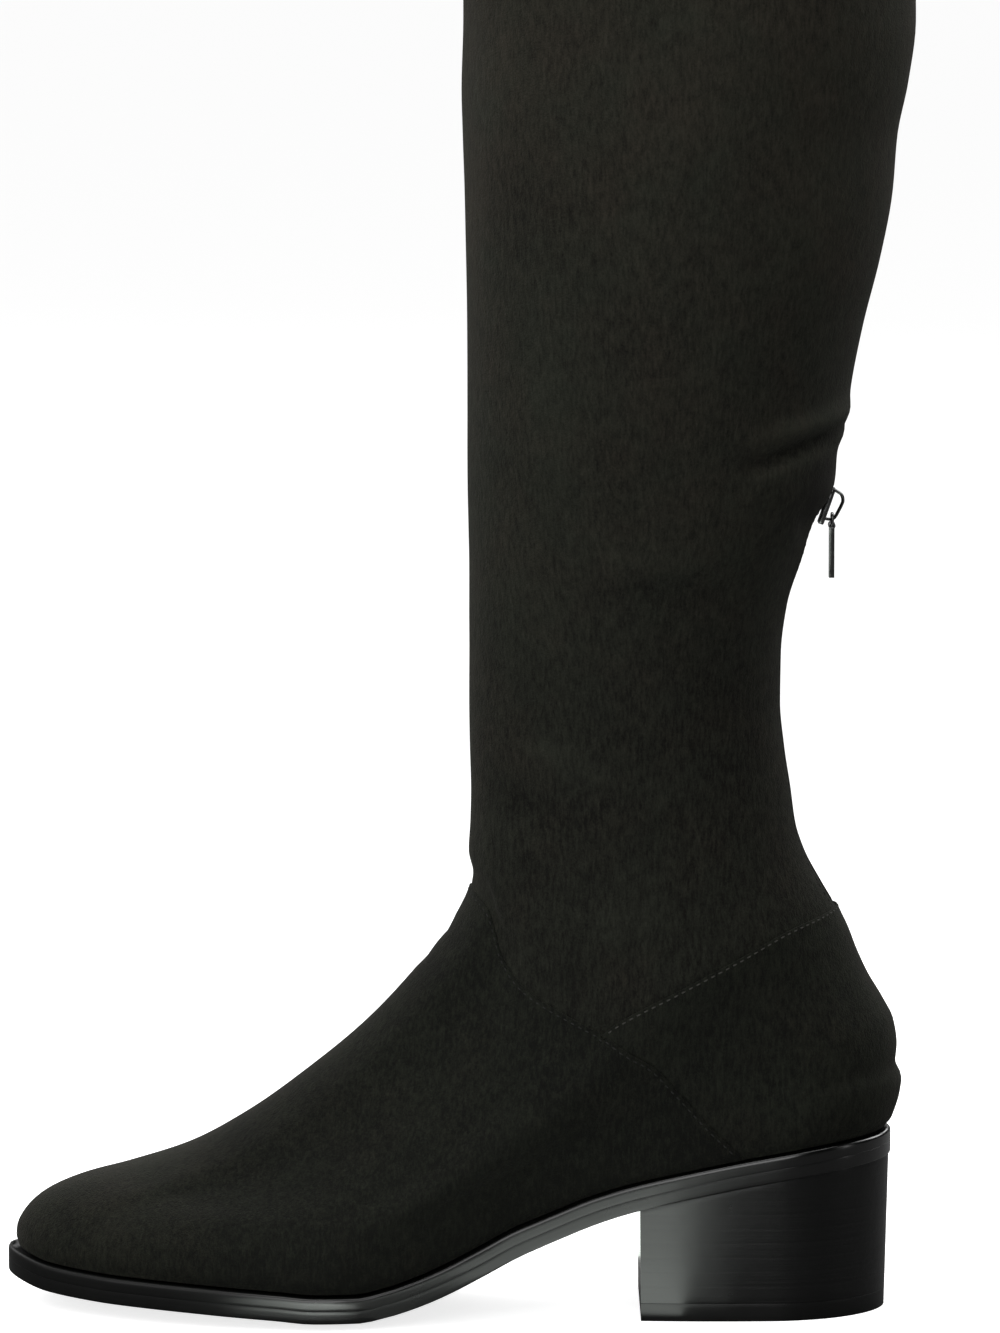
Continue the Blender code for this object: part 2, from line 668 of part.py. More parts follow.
def profile_piece(name, loops, low, high, axis, look, home):
    """A flat profile pulled out along an axis: one loop, or an outer loop and a hole.

    An outer loop and its hole have one point for each other, at the same bearing.
    """
    bm = bmesh.new()
    rows = [[bm.verts.new((x, low, z)) for x, z in loop] for loop in loops]
    if len(rows) == 1:
        bm.faces.new(rows[0])
    else:
        outer, hole = rows
        for i, _ in enumerate(outer):
            bm.faces.new((outer[i - 1], outer[i], hole[i], hole[i - 1]))
    moved = bmesh.ops.extrude_face_region(bm, geom=bm.faces[:])
    lifted = [v for v in moved["geom"] if isinstance(v, bmesh.types.BMVert)]
    bmesh.ops.translate(bm, vec=(0, high - low, 0), verts=lifted)
    if axis == "Z":
        turn = Matrix(((1, 0, 0), (0, 0, 1), (0, 1, 0)))
        bmesh.ops.transform(bm, matrix=turn.to_4x4(), verts=bm.verts[:])
    bmesh.ops.recalc_face_normals(bm, faces=bm.faces[:])
    return add_object(name, bm, look, home)


def bearings():
    """Bearings of a round shape's corners."""
    return [2 * math.pi * i / RING_SIDES for i in range(RING_SIDES)]


def circle(radius):
    """Corners of a circle."""
    return [(radius * math.cos(a), radius * math.sin(a)) for a in bearings()]


def arch_loop(foot, tall, long):
    """Outline of an arch seen from the side: half an ellipse over a straight-sided foot."""
    loop = []
    for a in bearings():
        if math.cos(a) > 0:
            reach = 1 / math.hypot(math.cos(a) / tall, math.sin(a) / long)
        else:
            reach = min(foot / max(-math.cos(a), TINY), long / max(abs(math.sin(a)), TINY))
        loop.append((reach * math.cos(a), reach * math.sin(a)))
    return loop


def build_slider(place, lean, looks, home, cutters):
    """Plate with two sides that hold the chain, and a bridge for the link.

    Local +X points out of the boot and +Z up the zip, with the origin on the skin.
    """
    top, inner = SLIDER_PLATE / 2, -SLIDER_PLATE / 2
    low = top - SLIDER_REACH
    wide, clear = SLIDER_HALF, SLIDER_HALF - SLIDER_FLANGE
    channel = [(top, -wide), (top, wide), (low, wide), (low, clear)]
    channel += [(inner, clear), (inner, -clear), (low, -clear), (low, -wide)]
    half = SLIDER_LENGTH / 2
    slider = profile_piece("zip_slider", [channel], -half, half, "Z", looks["metal"], home)
    sill = SLIDER_PLATE / 2 + BRIDGE_SILL
    middle = sill + BRIDGE_HOLE * BRIDGE_FOOT
    end = SLIDER_LENGTH / 2 - BRIDGE_LENGTH / 2
    tall, long = BRIDGE_HOLE * (1 - BRIDGE_FOOT), BRIDGE_LENGTH / 2 - BRIDGE_THICKNESS
    outer = arch_loop(middle, tall + BRIDGE_THICKNESS, long + BRIDGE_THICKNESS)
    loops = [outer, arch_loop(middle - sill, tall, long)]
    reach = BRIDGE_WIDTH / 2
    bridge = profile_piece("bridge", loops, -reach, reach, "Y", looks["metal"], cutters)
    bridge.hide_render = True
    bridge.display_type = "WIRE"
    bridge.parent = slider
    bridge.location = (middle, 0, end)
    join = slider.modifiers.new("bridge", "BOOLEAN")
    join.operation = "UNION"
    join.solver = "EXACT"
    join.object = bridge
    round_edges(slider, SLIDER_ROUND)
    slider.location = place
    slider.rotation_euler = (0, lean, 0)


def link_bar():
    """The link's upper bar from the slider's origin: out of the boot, and up the zip.

    It hangs at the lower end of the bridge's hole, where the arch begins.
    """
    hole_end = SLIDER_LENGTH / 2 - BRIDGE_LENGTH + BRIDGE_THICKNESS
    return BAR_OUT, hole_end + BAR_PLAY + WIRE


def build_link(hinge, look, home):
    """Closed wire loop that hangs from its upper bar, its own hinge."""
    path = [(0, -LINK_HALF, 0), (-LINK_SWAY, -LINK_HALF, -LINK_LENGTH)]
    path += [(-LINK_SWAY, LINK_HALF, -LINK_LENGTH), (0, LINK_HALF, 0)]
    curve = bpy.data.curves.new("zip_pull_link", "CURVE")
    curve.dimensions = "3D"
    curve.bevel_depth = WIRE
    curve.bevel_resolution = WIRE_RESOLUTION
    spline = curve.splines.new("POLY")
    spline.points.add(len(path) - 1)
    for point, place in zip(spline.points, path):
        point.co = (*place, 1)
    spline.use_cyclic_u = True
    obj = bpy.data.objects.new("zip_pull_link", curve)
    curve.materials.append(look)
    home.objects.link(obj)
    obj.location = hinge


def build_tab(hinge, look, home):
    """Flat pull tab with a rolled top around the link's lower bar."""
    half = TAB_THICKNESS / 2
    roll = circle(TAB_ROLL)
    lowest = 3 * RING_SIDES // 4
    roll[lowest - 2] = (-half, -math.sqrt(TAB_ROLL**2 - half**2))
    roll[lowest - 1] = (-half, -TAB_LENGTH)
    roll[lowest] = (0, -TAB_LENGTH)
    roll[lowest + 1] = (half, -TAB_LENGTH)
    roll[lowest + 2] = (half, -math.sqrt(TAB_ROLL**2 - half**2))
    loops = [roll, circle(WIRE + FIT_GAP)]
    reach = TAB_WIDTH / 2
    tab = profile_piece("zip_pull_tab", loops, -reach, reach, "Y", look, home)
    round_edges(tab, TAB_ROUND)
    tab.location = hinge


def build_zip(back, looks, home, cutters):
    """Tapes, chain, slider and pull, down the back line from the slot's top."""
    foot = len(FOOT_RINGS)
    top = foot + ZIP_TOP_RING + 1
    tape_levels = list(range(foot - 1, top + TAPE_OVER + 1))
    below_wall = WALL_SHAFT + FIT_GAP
    for name, side in (("zip_tape_outer", -1), ("zip_tape_inner", 1)):
        edges = [side * across for across in (TAPE_INNER, ZIP_SLOT_HALF, TAPE_EDGE)]
        lines = [edges] * len(tape_levels)
        strip(name, lines, tape_levels, back, below_wall, TAPE_THICKNESS, looks["lining"], home)
    levels = tooth_levels(back, foot, top)
    halves = [CHAIN_HALF - TOOTH_NOTCH * (i % 2) for i in range(len(levels))]
    lines = [(-half, 0, half) for half in halves]
    depth = WALL_SHAFT - CHAIN_THICKNESS
    strip("zip_chain", lines, levels, back, depth, CHAIN_THICKNESS, looks["metal"], home)

    low, high = back[0, top - 1][0], back[0, top][0]
    along = (high - low).normalized()
    lean = math.atan2(along.x, along.z)
    out = Vector((along.z, 0, -along.x))
    place = high - along * (SLIDER_LENGTH / 2 + SLIDER_TOP_GAP)
    build_slider(place, lean, looks, home, cutters)
    bar_out, bar_up = link_bar()
    hinge = place + out * bar_out + along * bar_up
    build_link(hinge, looks["metal"], home)
    build_tab(hinge - Vector((LINK_SWAY, 0, LINK_LENGTH)), looks["metal"], home)


def build():
    """Builds the whole boot in a collection of its own."""
    clear_scene()
    home = bpy.data.collections.new(COLLECTION)
    cutters = bpy.data.collections.new("cutters")
    for collection in (home, cutters):
        bpy.context.scene.collection.children.link(collection)
    looks = {key: material(finish) for key, finish in FINISHES.items()}
    build_sole(looks, home)
    back = build_upper(upper_rows(), looks["suede"], home)
    build_zip(back, looks, home, cutters)


build()
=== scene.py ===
"""Over-the-knee boot for a left foot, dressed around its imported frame, in metres.

The toe points to -X, the outer side of the foot faces -Y and +Z is up. Every soft part
is drawn on one last, whose rings run from the feather line at the sole to the collar.
A place on the last is a mark, the distance up along its rings, and a turn, the angle
round a ring from the front ridge (0) to the back line (pi), negative on the outer side.
"""

import logging
import math
from contextlib import contextmanager
from dataclasses import dataclass, field
from enum import Enum
from functools import cached_property
from typing import Callable, Iterator, Sequence

import bpy
import numpy as np
from mathutils import Matrix, Vector


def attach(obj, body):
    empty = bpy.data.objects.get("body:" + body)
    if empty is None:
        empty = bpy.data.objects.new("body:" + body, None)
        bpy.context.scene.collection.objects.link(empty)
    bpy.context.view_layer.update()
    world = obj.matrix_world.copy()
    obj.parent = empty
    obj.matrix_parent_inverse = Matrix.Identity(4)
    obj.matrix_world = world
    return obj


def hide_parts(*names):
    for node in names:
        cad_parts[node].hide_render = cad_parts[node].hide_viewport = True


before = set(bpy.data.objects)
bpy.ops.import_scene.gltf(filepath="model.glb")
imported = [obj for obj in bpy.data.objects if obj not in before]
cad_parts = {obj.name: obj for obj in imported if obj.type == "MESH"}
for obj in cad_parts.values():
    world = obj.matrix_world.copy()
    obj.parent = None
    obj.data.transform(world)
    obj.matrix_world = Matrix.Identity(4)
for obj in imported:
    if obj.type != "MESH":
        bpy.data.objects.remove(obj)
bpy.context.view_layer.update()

LOG = logging.getLogger("boot")
MM = 0.001
Array = np.ndarray
Colour = tuple[float, float, float]


class Side(Enum):
    """The two sides of the foot, as the sign of Y."""

    OUTER = -1
    INNER = 1

    @property
    def label(self) -> str:
        """The side's name in the names of pieces."""
        return self.name.lower()


# ---------------------------------------------------------------- the last


@dataclass(frozen=True)
class Curve:
    """A monotone cubic through points, held at both ends."""

    xs: tuple[float, ...]
    ys: tuple[float, ...]

    @classmethod
    def through(cls, *points: tuple[float, float]) -> "Curve":
        """A curve through pairs of numbers."""
        return cls(tuple(p[0] for p in points), tuple(p[1] for p in points))

    @cached_property
    def parts(self) -> tuple[Array, Array, Array, Array]:
        """Knots, values, run of each part and slope at each knot."""
        xs, ys = np.array(self.xs, float), np.array(self.ys, float)
        run = np.diff(xs)
        slope = np.diff(ys) / run
        product, total = slope[:-1] * slope[1:], slope[:-1] + slope[1:]
        safe = np.where(total == 0, 1, total)
        inner = np.where(product > 0, 2 * product / safe, 0)
        return xs, ys, run, np.concatenate([slope[:1], inner, slope[-1:]])

    def __call__(self, x: Array | float) -> Array:
        """The curve's value at x.

        Args:
            x: One place or an array of places.

        Returns:
            The values, in the shape of x.
        """
        xs, ys, run, tangent = self.parts
        x = np.clip(np.asarray(x, float), xs[0], xs[-1])
        i = np.clip(np.searchsorted(xs, x, side="right") - 1, 0, len(run) - 1)
        t = (x - xs[i]) / run[i]
        rise = tangent[i] * t * (1 - t) ** 2 - tangent[i + 1] * t * t * (1 - t)
        return ys[i] * (1 + 2 * t) * (1 - t) ** 2 + ys[i + 1] * t * t * (3 - 2 * t) + run[i] * rise


def smooth_step(x: Array) -> Array:
    """A soft step from 0 to 1."""
    x = np.clip(x, 0, 1)
    return x * x * (3 - 2 * x)


@dataclass(frozen=True)
class Sole:
    """Plan and rise of the sole, in millimetres along the foot from its back edge."""

    length: float = 258.0
    heel_round: float = 34.0
    toe_round: float = 64.0
    tread_share: float = 0.4
    middle: Curve = Curve.through(
        (0, 0), (30, 0), (60, -0.7), (90, -1.8), (110, -2.3), (130, -2.8), (150, -2.8), (166, -2.0),
        (186, 0.5), (206, 2.5), (226, 4.6), (240, 5.2), (258, 5.4),
    )
    half: Curve = Curve.through(
        (0, 29.0), (30, 30.3), (60, 29.6), (90, 28.6), (110, 29.5), (130, 33.4), (150, 38.8), (166, 42.0),
        (186, 43.0), (206, 41.0), (226, 39.2), (240, 37.0), (258, 36.0),
    )
    bottom: Curve = Curve.through(
        (0, 45.2), (19, 43.4), (38, 40.3), (56, 36.7), (74, 32.6), (85, 29.2), (95, 25.2), (107, 20.0),
        (118, 14.0), (129, 8.3), (138, 4.3), (146, 1.6), (155, 0.0), (168, 0.0), (178, 0.8), (194, 1.8),
        (212, 2.7), (230, 3.7), (246, 5.3), (258, 8.4),
    )
    edge_lift: Curve = Curve.through((104, 0), (129, 0.9), (150, 2.1), (200, 2.1), (258, 0.8))

    def outline(self, station: Array, heel_inset: float, toe_inset: float) -> tuple[Array, Array]:
        """The sole's plan at stations along the foot.

        Args:
            station: Distance forward from the back edge.
            heel_inset: How far the plan is drawn in at the heel.
            toe_inset: How far it is drawn in at the toe.

        Returns:
            The middle line's place to the inner side, and the half-width.
        """
        inset = Curve.through((60, heel_inset), (130, toe_inset))(station)
        half = self.half(station) - inset
        back = (station - heel_inset) / (self.heel_round - heel_inset)
        front = (self.length - toe_inset - station) / (self.toe_round - toe_inset)
        for reach in (back, front):
            half = half * np.sqrt(np.clip(1 - (1 - np.clip(reach, 0, 1)) ** 2, 0, 1))
        return self.middle(station), half

    def height(self, station: Array, lift: float, across: Array | float = 1.0) -> Array:
        """Height of a layer that lies lift above the underside, square to it.

        Args:
            station: Distance forward from the back edge.
            lift: Distance above the underside of the outsole.
            across: 0 at the middle line, 1 at the edges.

        Returns:
            The height above the floor.
        """
        lean = np.hypot(1, self.bottom(station + 0.5) - self.bottom(station - 0.5))
        curl = np.clip((across - self.tread_share) / (1 - self.tread_share), 0, None)
        return self.bottom(station) + self.edge_lift(station) * curl + lift * lean


@dataclass(frozen=True)
class Crease:
    """A soft fold in the leather, along a line in the side view.

    A ridge has a height above 0 and a trough a height below it. Points are stations and
    heights in millimetres. shade is painted into the colour along it: painted shade in a
    trough, a painted highlight on a ridge.
    """

    line: tuple[tuple[float, float], ...]
    width: float
    height: float
    # Painted shade below 0, painted highlight above 0
    shade: float = 0.0
    end_share: float = 0.3
    end_rise: float = 0.35

    def strength(self, station: Array, height: Array) -> Array:
        """How strongly the fold is felt at places of the skin, from 0 to 1.

        Args:
            station: Distance forward from the back edge of the sole.
            height: Height above the floor.

        Returns:
            A share at each place, in the shape of station.
        """
        best = np.zeros_like(station)
        points = np.array(self.line, float)
        lengths = np.hypot(*np.diff(points, axis=0).T)
        before = 0.0
        for (s0, z0), (s1, z1), length in zip(points, points[1:], lengths):
            ds, dz = (s1 - s0) / length, (z1 - z0) / length
            along = np.clip((station - s0) * ds + (height - z0) * dz, 0, length)
            away = np.hypot(station - s0 - along * ds, height - z0 - along * dz)
            share = (before + along) / lengths.sum()
            taper = smooth_step(np.minimum(share, 1 - share) / self.end_share)
            rise = self.end_rise + (1 - self.end_rise) * taper
            best = np.maximum(best, rise * np.exp(-((away / self.width) ** 2)))
            before += length
        return best


# How far the edges of vamp and counter dip below a straight ring, against the share of the way back
TOE_DIP = ((0, 0), (0.05, 5), (0.085, 17), (0.132, 24.5), (0.192, 28.8))
HEEL_DIP = ((0.567, 22.6), (0.727, 13.1), (0.868, 5), (1, 0))


@dataclass(frozen=True)
class Last:
    """The form of foot and leg inside the boot's outer skin, in millimetres."""

    sole: Sole = Sole()
    heel_back: float = 37.0
    welt_heel: float = 1.2
    welt_toe: float = 3.0
    feather: float = 8.0
    foot_rings: int = 13
    slot_ring: int = 23
    creases: tuple[Crease, ...] = ()
    # front_s, front_z, back_s, back_z, half, plan, sole, seam
    foot: tuple[tuple[float, ...], ...] = (
        (255, 15.4, 1.2, 52.8, 40, 1, 1, 0),
        (254.6, 20.6, -0.7, 57.6, 40.4, 1, 0.95, 0),
        (252.2, 25.4, -2.1, 62.4, 40.6, 0.96, 0.88, 0.04),
        (246.6, 30.6, -2.6, 66.6, 40.4, 0.9, 0.8, 0.1),
        (236.5, 35.3, -0.8, 71.6, 40, 0.83, 0.71, 0.17),
        (222.5, 39.3, -1.2, 76.8, 39.4, 0.74, 0.61, 0.25),
        (205, 45.2, -0.2, 83.6, 38.6, 0.62, 0.5, 0.35),
        (187.6, 54.9, 3, 90.2, 37.6, 0.48, 0.38, 0.48),
        (170.2, 67.6, 7.4, 97.6, 36.6, 0.34, 0.26, 0.62),
        (152.8, 82.4, 10.8, 104.9, 35.6, 0.2, 0.15, 0.76),
        (137.2, 99.2, 13.2, 111.2, 34.9, 0.1, 0.07, 0.89),
        (129.2, 109.6, 15, 115, 34.6, 0.04, 0.03, 0.95),
        (122.4, 123.8, 16.4, 118, 34.4, 0, 0, 1),
        (121.9, 127.5, 20.2, 124.6, 33.9, 0, 0, 0.86),
        (123.2, 134, 25, 133.8, 33.4, 0, 0, 0.66),
        (122.6, 143, 27.8, 142.6, 33, 0, 0, 0.44),
        (122.3, 153, 29.4, 153, 33, 0, 0, 0.24),
        (122.5, 165, 31.4, 165, 33.4, 0, 0, 0.09),
    )
    # front_s, height, back_s, half
    leg: tuple[tuple[float, ...], ...] = (
        (122.7, 178, 32.7, 34.2), (122.8, 192, 32.5, 35.6), (123, 206, 30.7, 37.6), (123, 218, 26.6, 39.6),
        (123.1, 228, 21.3, 41.4), (123.2, 240.5, 16.9, 43.2), (123.2, 251, 17, 45), (123.2, 257.5, 14.5, 46),
        (123.3, 268, 13.2, 47.4), (123.6, 287, 9.4, 50), (123.9, 307, 4.5, 52.4), (124.1, 326, 1, 54.2),
        (124.6, 342, -0.3, 55.4), (125.1, 357, -3.2, 56.2), (124.8, 375, -5.2, 56.6), (124.9, 402, -4.6, 56),
        (125.6, 432, -0.8, 54.4), (127, 461, 5, 53.2), (128.6, 489, 8, 53.4), (129.8, 518, 5.8, 55.2),
        (130.4, 548, 1, 57.4), (130.6, 576, -2.6, 59.2), (130.6, 590, -3.8, 60),
    )
    vamp_dip: Curve = Curve.through(*TOE_DIP, (0.287, 33.6), (0.357, 37))
    counter_dip: Curve = Curve.through((0.357, 37), (0.39, 33.8), *HEEL_DIP)
    round_dip: Curve = Curve.through(*TOE_DIP, (0.287, 32.6), (0.357, 33.9), (0.42, 32.2), (0.5, 27.4), *HEEL_DIP)
    vamp_edge: Curve = Curve.through(
        (42, 46.0), (47.7, 51.8), (52.0, 55.9), (62.1, 67.1), (69.9, 75.3), (78.0, 80.3), (84.5, 85.3)
    )

    @cached_property
    def rings(self) -> tuple[tuple[float, ...], ...]:
        """Every ring, from the feather line to the collar."""
        return self.foot + tuple((front, z, back, z, half, 0, 0, 0) for front, z, back, half in self.leg)

    @cached_property
    def marks(self) -> Array:
        """Mark of each ring, counted up along the mean of the front and back lines."""
        table = np.array(self.rings)
        front = np.hypot(np.diff(table[:, 0]), np.diff(table[:, 1]))
        back = np.hypot(np.diff(table[:, 2]), np.diff(table[:, 3]))
        return np.concatenate([[0], np.cumsum((front + back) / 2)])

    @cached_property
    def columns(self) -> tuple[Curve, ...]:
        """The ring table's columns as curves over the mark."""
        return tuple(Curve(tuple(self.marks), column) for column in zip(*self.rings))

    @property
    def top_line(self) -> float:
        """Mark of the top edge of vamp and counter."""
        return float(self.marks[self.foot_rings - 1])

    @property
    def slot_top(self) -> float:
        """Mark of the top of the zip's slot."""
        return float(self.marks[self.slot_ring])

    @property
    def collar(self) -> float:
        """Mark of the collar."""
        return float(self.marks[-1])

    def half_at(self, mark: Array | float) -> Array:
        """Half-width of the ring at a mark."""
        return self.columns[4](mark)

    def turn_at(self, mark: Array | float, across: Array | float) -> Array:
        """Turn of a place at a distance across from the back line, on the inner side."""
        return math.pi - np.arcsin(np.clip(np.asarray(across) / self.half_at(mark), -1, 1))

    def bare(self, mark: Array, turn: Array) -> Array:
        """Places on the last, without folds.

        Args:
            mark: Distance up along the rings.
            turn: Angle round the ring; past pi it comes round on the other side.

        Returns:
            Points in millimetres, with X, Y and Z on the last axis.
        """
        mark, turn = np.broadcast_arrays(np.asarray(mark, float), np.asarray(turn, float))
        turn = (turn + math.pi) % (2 * math.pi) - math.pi
        angle, side = np.abs(turn), np.where(turn < 0, -1.0, 1.0)
        front_s, front_z, back_s, back_z, half, plan, rise, seam = (c(mark) for c in self.columns)
        feather = self.rings[0]
        share = (1 - np.cos(angle)) / 2
        sharp = smooth_step((seam - 0.76) / 0.24)
        station = front_s + (back_s - front_s) * share
        sole_station = feather[0] + (feather[2] - feather[0]) * share
        middle, sole_half = self.sole.outline(sole_station, self.welt_heel, self.welt_toe)
        width = (1 - plan) * half * np.sin(angle) + plan * sole_half * half / feather[4]
        chord = front_z + (back_z - front_z) * share
        under = sole_station + (station - sole_station) * smooth_step((share - 0.15) / 0.2)
        sag = self.sole.height(under, self.feather) - feather[1] - (feather[3] - feather[1]) * share
        dip = np.where(share < self.vamp_dip.xs[-1], self.vamp_dip(share), self.counter_dip(share))
        dip = np.where(mark < self.top_line, self.round_dip(share) * (1 - sharp) + dip * sharp, dip)
        z = chord + rise * sag - seam * dip
        return np.stack([self.heel_back - station, plan * middle + side * width, z], -1)

    def normal(self, mark: Array, turn: Array) -> Array:
        """Outward unit normals of the last at places given as for bare.

        Args:
            mark: Distance up along the rings.
            turn: Angle round the ring.

        Returns:
            Unit vectors, with X, Y and Z on the last axis.
        """
        mark, turn = np.broadcast_arrays(np.asarray(mark, float), np.asarray(turn, float))
        low, high = np.clip(mark - 0.6, 0, None), np.clip(mark + 0.6, None, self.collar)
        up = self.bare(high, turn) - self.bare(low, turn)
        round_it = self.bare(mark, turn + 0.008) - self.bare(mark, turn - 0.008)
        out = np.cross(up, round_it)
        return out / np.maximum(np.linalg.norm(out, axis=-1, keepdims=True), 1e-9)

    def folds(self, point: Array) -> tuple[Array, Array]:
        """Height of the folds, and the painted shade and highlight along them, at points of the last.

        Args:
            point: Points in millimetres, with X, Y and Z on the last axis.

        Returns:
            How far the skin stands out there in millimetres, and the painted highlight (above 0) or painted shade
            (below 0) there.
        """
        station, y, z = self.heel_back - point[..., 0], point[..., 1], point[..., 2]
        wave = 0.22 * np.sin(station / 17 + z / 31 + 1.1) * np.sin(z / 23 - y / 19)
        wave += 0.12 * np.sin(station / 9 - z / 13 + 0.4 + y / 11)
        height = wave * np.clip((z - 70) / 60, 0.15, 1)
        shade = np.zeros_like(z)
        for crease in self.creases:
            felt = crease.strength(station, z)
            height = height + crease.height * felt
            # Painted shade in troughs and painted highlights on ridges
            shade = shade + crease.shade * felt
        return height, shade

    def worn(self, mark: Array, turn: Array, out: Array | float = 0.0) -> Array:
        """Places on the worn skin, in metres, out millimetres off the last with its folds.

        Args:
            mark: Distance up along the rings.
            turn: Angle round the ring.
            out: Distance off the last in millimetres.

        Returns:
            Points in metres, with X, Y and Z on the last axis.
        """
        point, normal = self.bare(mark, turn), self.normal(mark, turn)
        height = self.folds(point)[0] + out
        return (point + normal * height[..., None]) * MM

    @cached_property
    def edge_shares(self) -> tuple[Array, Array]:
        """Marks of the foot, and the share of the way back at which the vamp ends there."""
        marks = np.linspace(0, self.top_line, 80)
        low, high = np.full_like(marks, 0.1), np.full_like(marks, 0.9)
        for _ in range(40):
            middle = (low + high) / 2
            point = self.bare(marks, -np.arccos(1 - 2 * middle))
            above = point[..., 2] > self.vamp_edge(self.heel_back - point[..., 0])
            high = np.where(above, middle, high)
            low = np.where(above, low, middle)
        return marks, np.maximum(middle, self.vamp_dip.xs[-1])

    def vamp_turn(self, mark: Array | float) -> Array:
        """Turn at which the vamp's edge crosses a mark of the foot, on the inner side."""
        marks, shares = self.edge_shares
        return np.arccos(1 - 2 * np.interp(mark, marks, shares))


# ---------------------------------------------------------------- modelling


class Bench:
    """The workbench: the modelling steps that the pieces share."""

    @staticmethod
    def clear() -> None:
        """Leaves object mode with nothing selected."""
        if bpy.context.mode != "OBJECT":
            bpy.ops.object.mode_set(mode="OBJECT")
        bpy.ops.object.select_all(action="DESELECT")

    @staticmethod
    def pick(*objs: bpy.types.Object) -> None:
        """Selects these objects alone, and makes the first one active.

        Args:
            objs: The objects, the one to be active first.
        """
        Bench.clear()
        for obj in objs:
            obj.select_set(True)
        bpy.context.view_layer.objects.active = objs[0]

    @staticmethod
    def named(name: str) -> bpy.types.Object:
        """Names the primitive that was just added, and its mesh.

        Args:
            name: The name.

        Returns:
            The primitive.
        """
        obj = bpy.context.object
        obj.name = obj.data.name = name
        return obj

    @staticmethod
    @contextmanager
    def editing(obj: bpy.types.Object, action: str = "SELECT") -> Iterator[None]:
        """Edit mode on one object, with everything or nothing selected, and back.

        Args:
            obj: The object to edit.
            action: SELECT for everything, DESELECT for nothing.

        Returns:
            Nothing; the steps inside it work on the object's mesh.
        """
        Bench.pick(obj)
        bpy.ops.object.mode_set(mode="EDIT")
        bpy.ops.mesh.select_all(action=action)
        yield
        bpy.ops.object.mode_set(mode="OBJECT")

    @staticmethod
    @contextmanager
    def faces(obj: bpy.types.Object, wanted: Array) -> Iterator[None]:
        """Edit mode on one object with only the wanted faces selected, and back.

        Args:
            obj: The object to edit.
            wanted: True for each face to select.

        Returns:
            Nothing; the steps inside it work on those faces.
        """
        with Bench.editing(obj, "DESELECT"):
            bpy.ops.mesh.select_mode(type="FACE")
            bpy.ops.object.mode_set(mode="OBJECT")
            obj.data.polygons.foreach_set("select", wanted)
            bpy.ops.object.mode_set(mode="EDIT")
            yield
            bpy.ops.mesh.select_mode(type="VERT")

    @staticmethod
    def read(items: bpy.types.bpy_prop_collection, what: str) -> Array:
        """A vector of each vertex or face, as rows.

        Args:
            items: A mesh's vertices or faces.
            what: The name of the vector.

        Returns:
            One row of three numbers for each item.
        """
        flat = np.zeros(len(items) * 3)
        items.foreach_get(what, flat)
        return flat.reshape(-1, 3)

    @staticmethod
    def sheet(name: str, points: Array) -> bpy.types.Object:
        """A grid laid on rows and columns of points, with doubles merged.

        Args:
            name: Name of the piece.
            points: Rows, columns and X, Y, Z, in metres. Its face side is the one from
                which rows run up and columns run to the right.

        Returns:
            The object, at the origin.
        """
        rows, columns = points.shape[:2]
        Bench.clear()
        bpy.ops.mesh.primitive_grid_add(x_subdivisions=columns - 1, y_subdivisions=rows - 1, size=2)
        obj = Bench.named(name)
        flat = Bench.read(obj.data.vertices, "co")[:, :2]
        column, row = np.rint((flat + 1) / 2 * (columns - 1, rows - 1)).astype(int).T
        obj.data.vertices.foreach_set("co", points[row, column].ravel())
        with Bench.editing(obj):
            bpy.ops.mesh.remove_doubles(threshold=2e-6)
            bpy.ops.mesh.dissolve_degenerate(threshold=1e-7)
        return obj

    @staticmethod
    def outward(obj: bpy.types.Object) -> None:
        """Turns every face of a closed piece outwards."""
        with Bench.editing(obj):
            bpy.ops.mesh.normals_make_consistent(inside=False)

    @staticmethod
    def closed(name: str, points: Array) -> bpy.types.Object:
        """A closed solid from a sheet whose edges meet, in millimetres, shaded smooth.

        Args:
            name: Name of the piece.
            points: Rows, columns and X, Y, Z, in millimetres.

        Returns:
            The solid.
        """
        obj = Bench.sheet(name, points * MM)
        Bench.outward(obj)
        return Bench.smooth(obj)

    @staticmethod
    def bar(name: str, size: Sequence[float], shift: Sequence[float]) -> bpy.types.Object:
        """A bar of a size, shifted off the origin, in millimetres, to be modelled further.

        Args:
            name: Name of the piece.
            size: Its size along X, Y and Z.
            shift: Where its middle lies.

        Returns:
            The bar.
        """
        Bench.clear()
        bpy.ops.mesh.primitive_cube_add(size=1)
        obj = Bench.named(name)
        with Bench.editing(obj):
            bpy.ops.transform.resize(value=[s * MM for s in size])
            bpy.ops.transform.translate(value=[s * MM for s in shift])
        return obj

    @staticmethod
    def draw_out(move: Sequence[float], size: Sequence[float]) -> None:
        """Extrudes what is selected by a move in millimetres, and resizes the new end."""
        bpy.ops.mesh.extrude_region_move(TRANSFORM_OT_translate={"value": [m * MM for m in move]})
        bpy.ops.transform.resize(value=size)

    @staticmethod
    def modify(obj: bpy.types.Object, kind: str, **settings: object) -> None:
        """Adds a modifier with these settings and applies it.

        Args:
            obj: The piece.
            kind: The modifier's type.
            settings: Its properties.
        """
        Bench.pick(obj)
        modifier = obj.modifiers.new(kind.lower(), kind)
        for key, value in settings.items():
            setattr(modifier, key, value)
        bpy.ops.object.modifier_apply(modifier=modifier.name)

    @staticmethod
    def combine(obj: bpy.types.Object, other: bpy.types.Object, operation: str) -> None:
        """Joins another piece to this one, or cuts it out, and uses it up."""
        Bench.modify(obj, "BOOLEAN", operation=operation, object=other, solver="EXACT")
        bpy.data.objects.remove(other)

    @staticmethod
    def thicken(obj: bpy.types.Object, wall: float) -> None:
        """Gives a sheet a wall in millimetres, inwards from its face."""
        Bench.modify(obj, "SOLIDIFY", thickness=wall * MM, offset=-1)

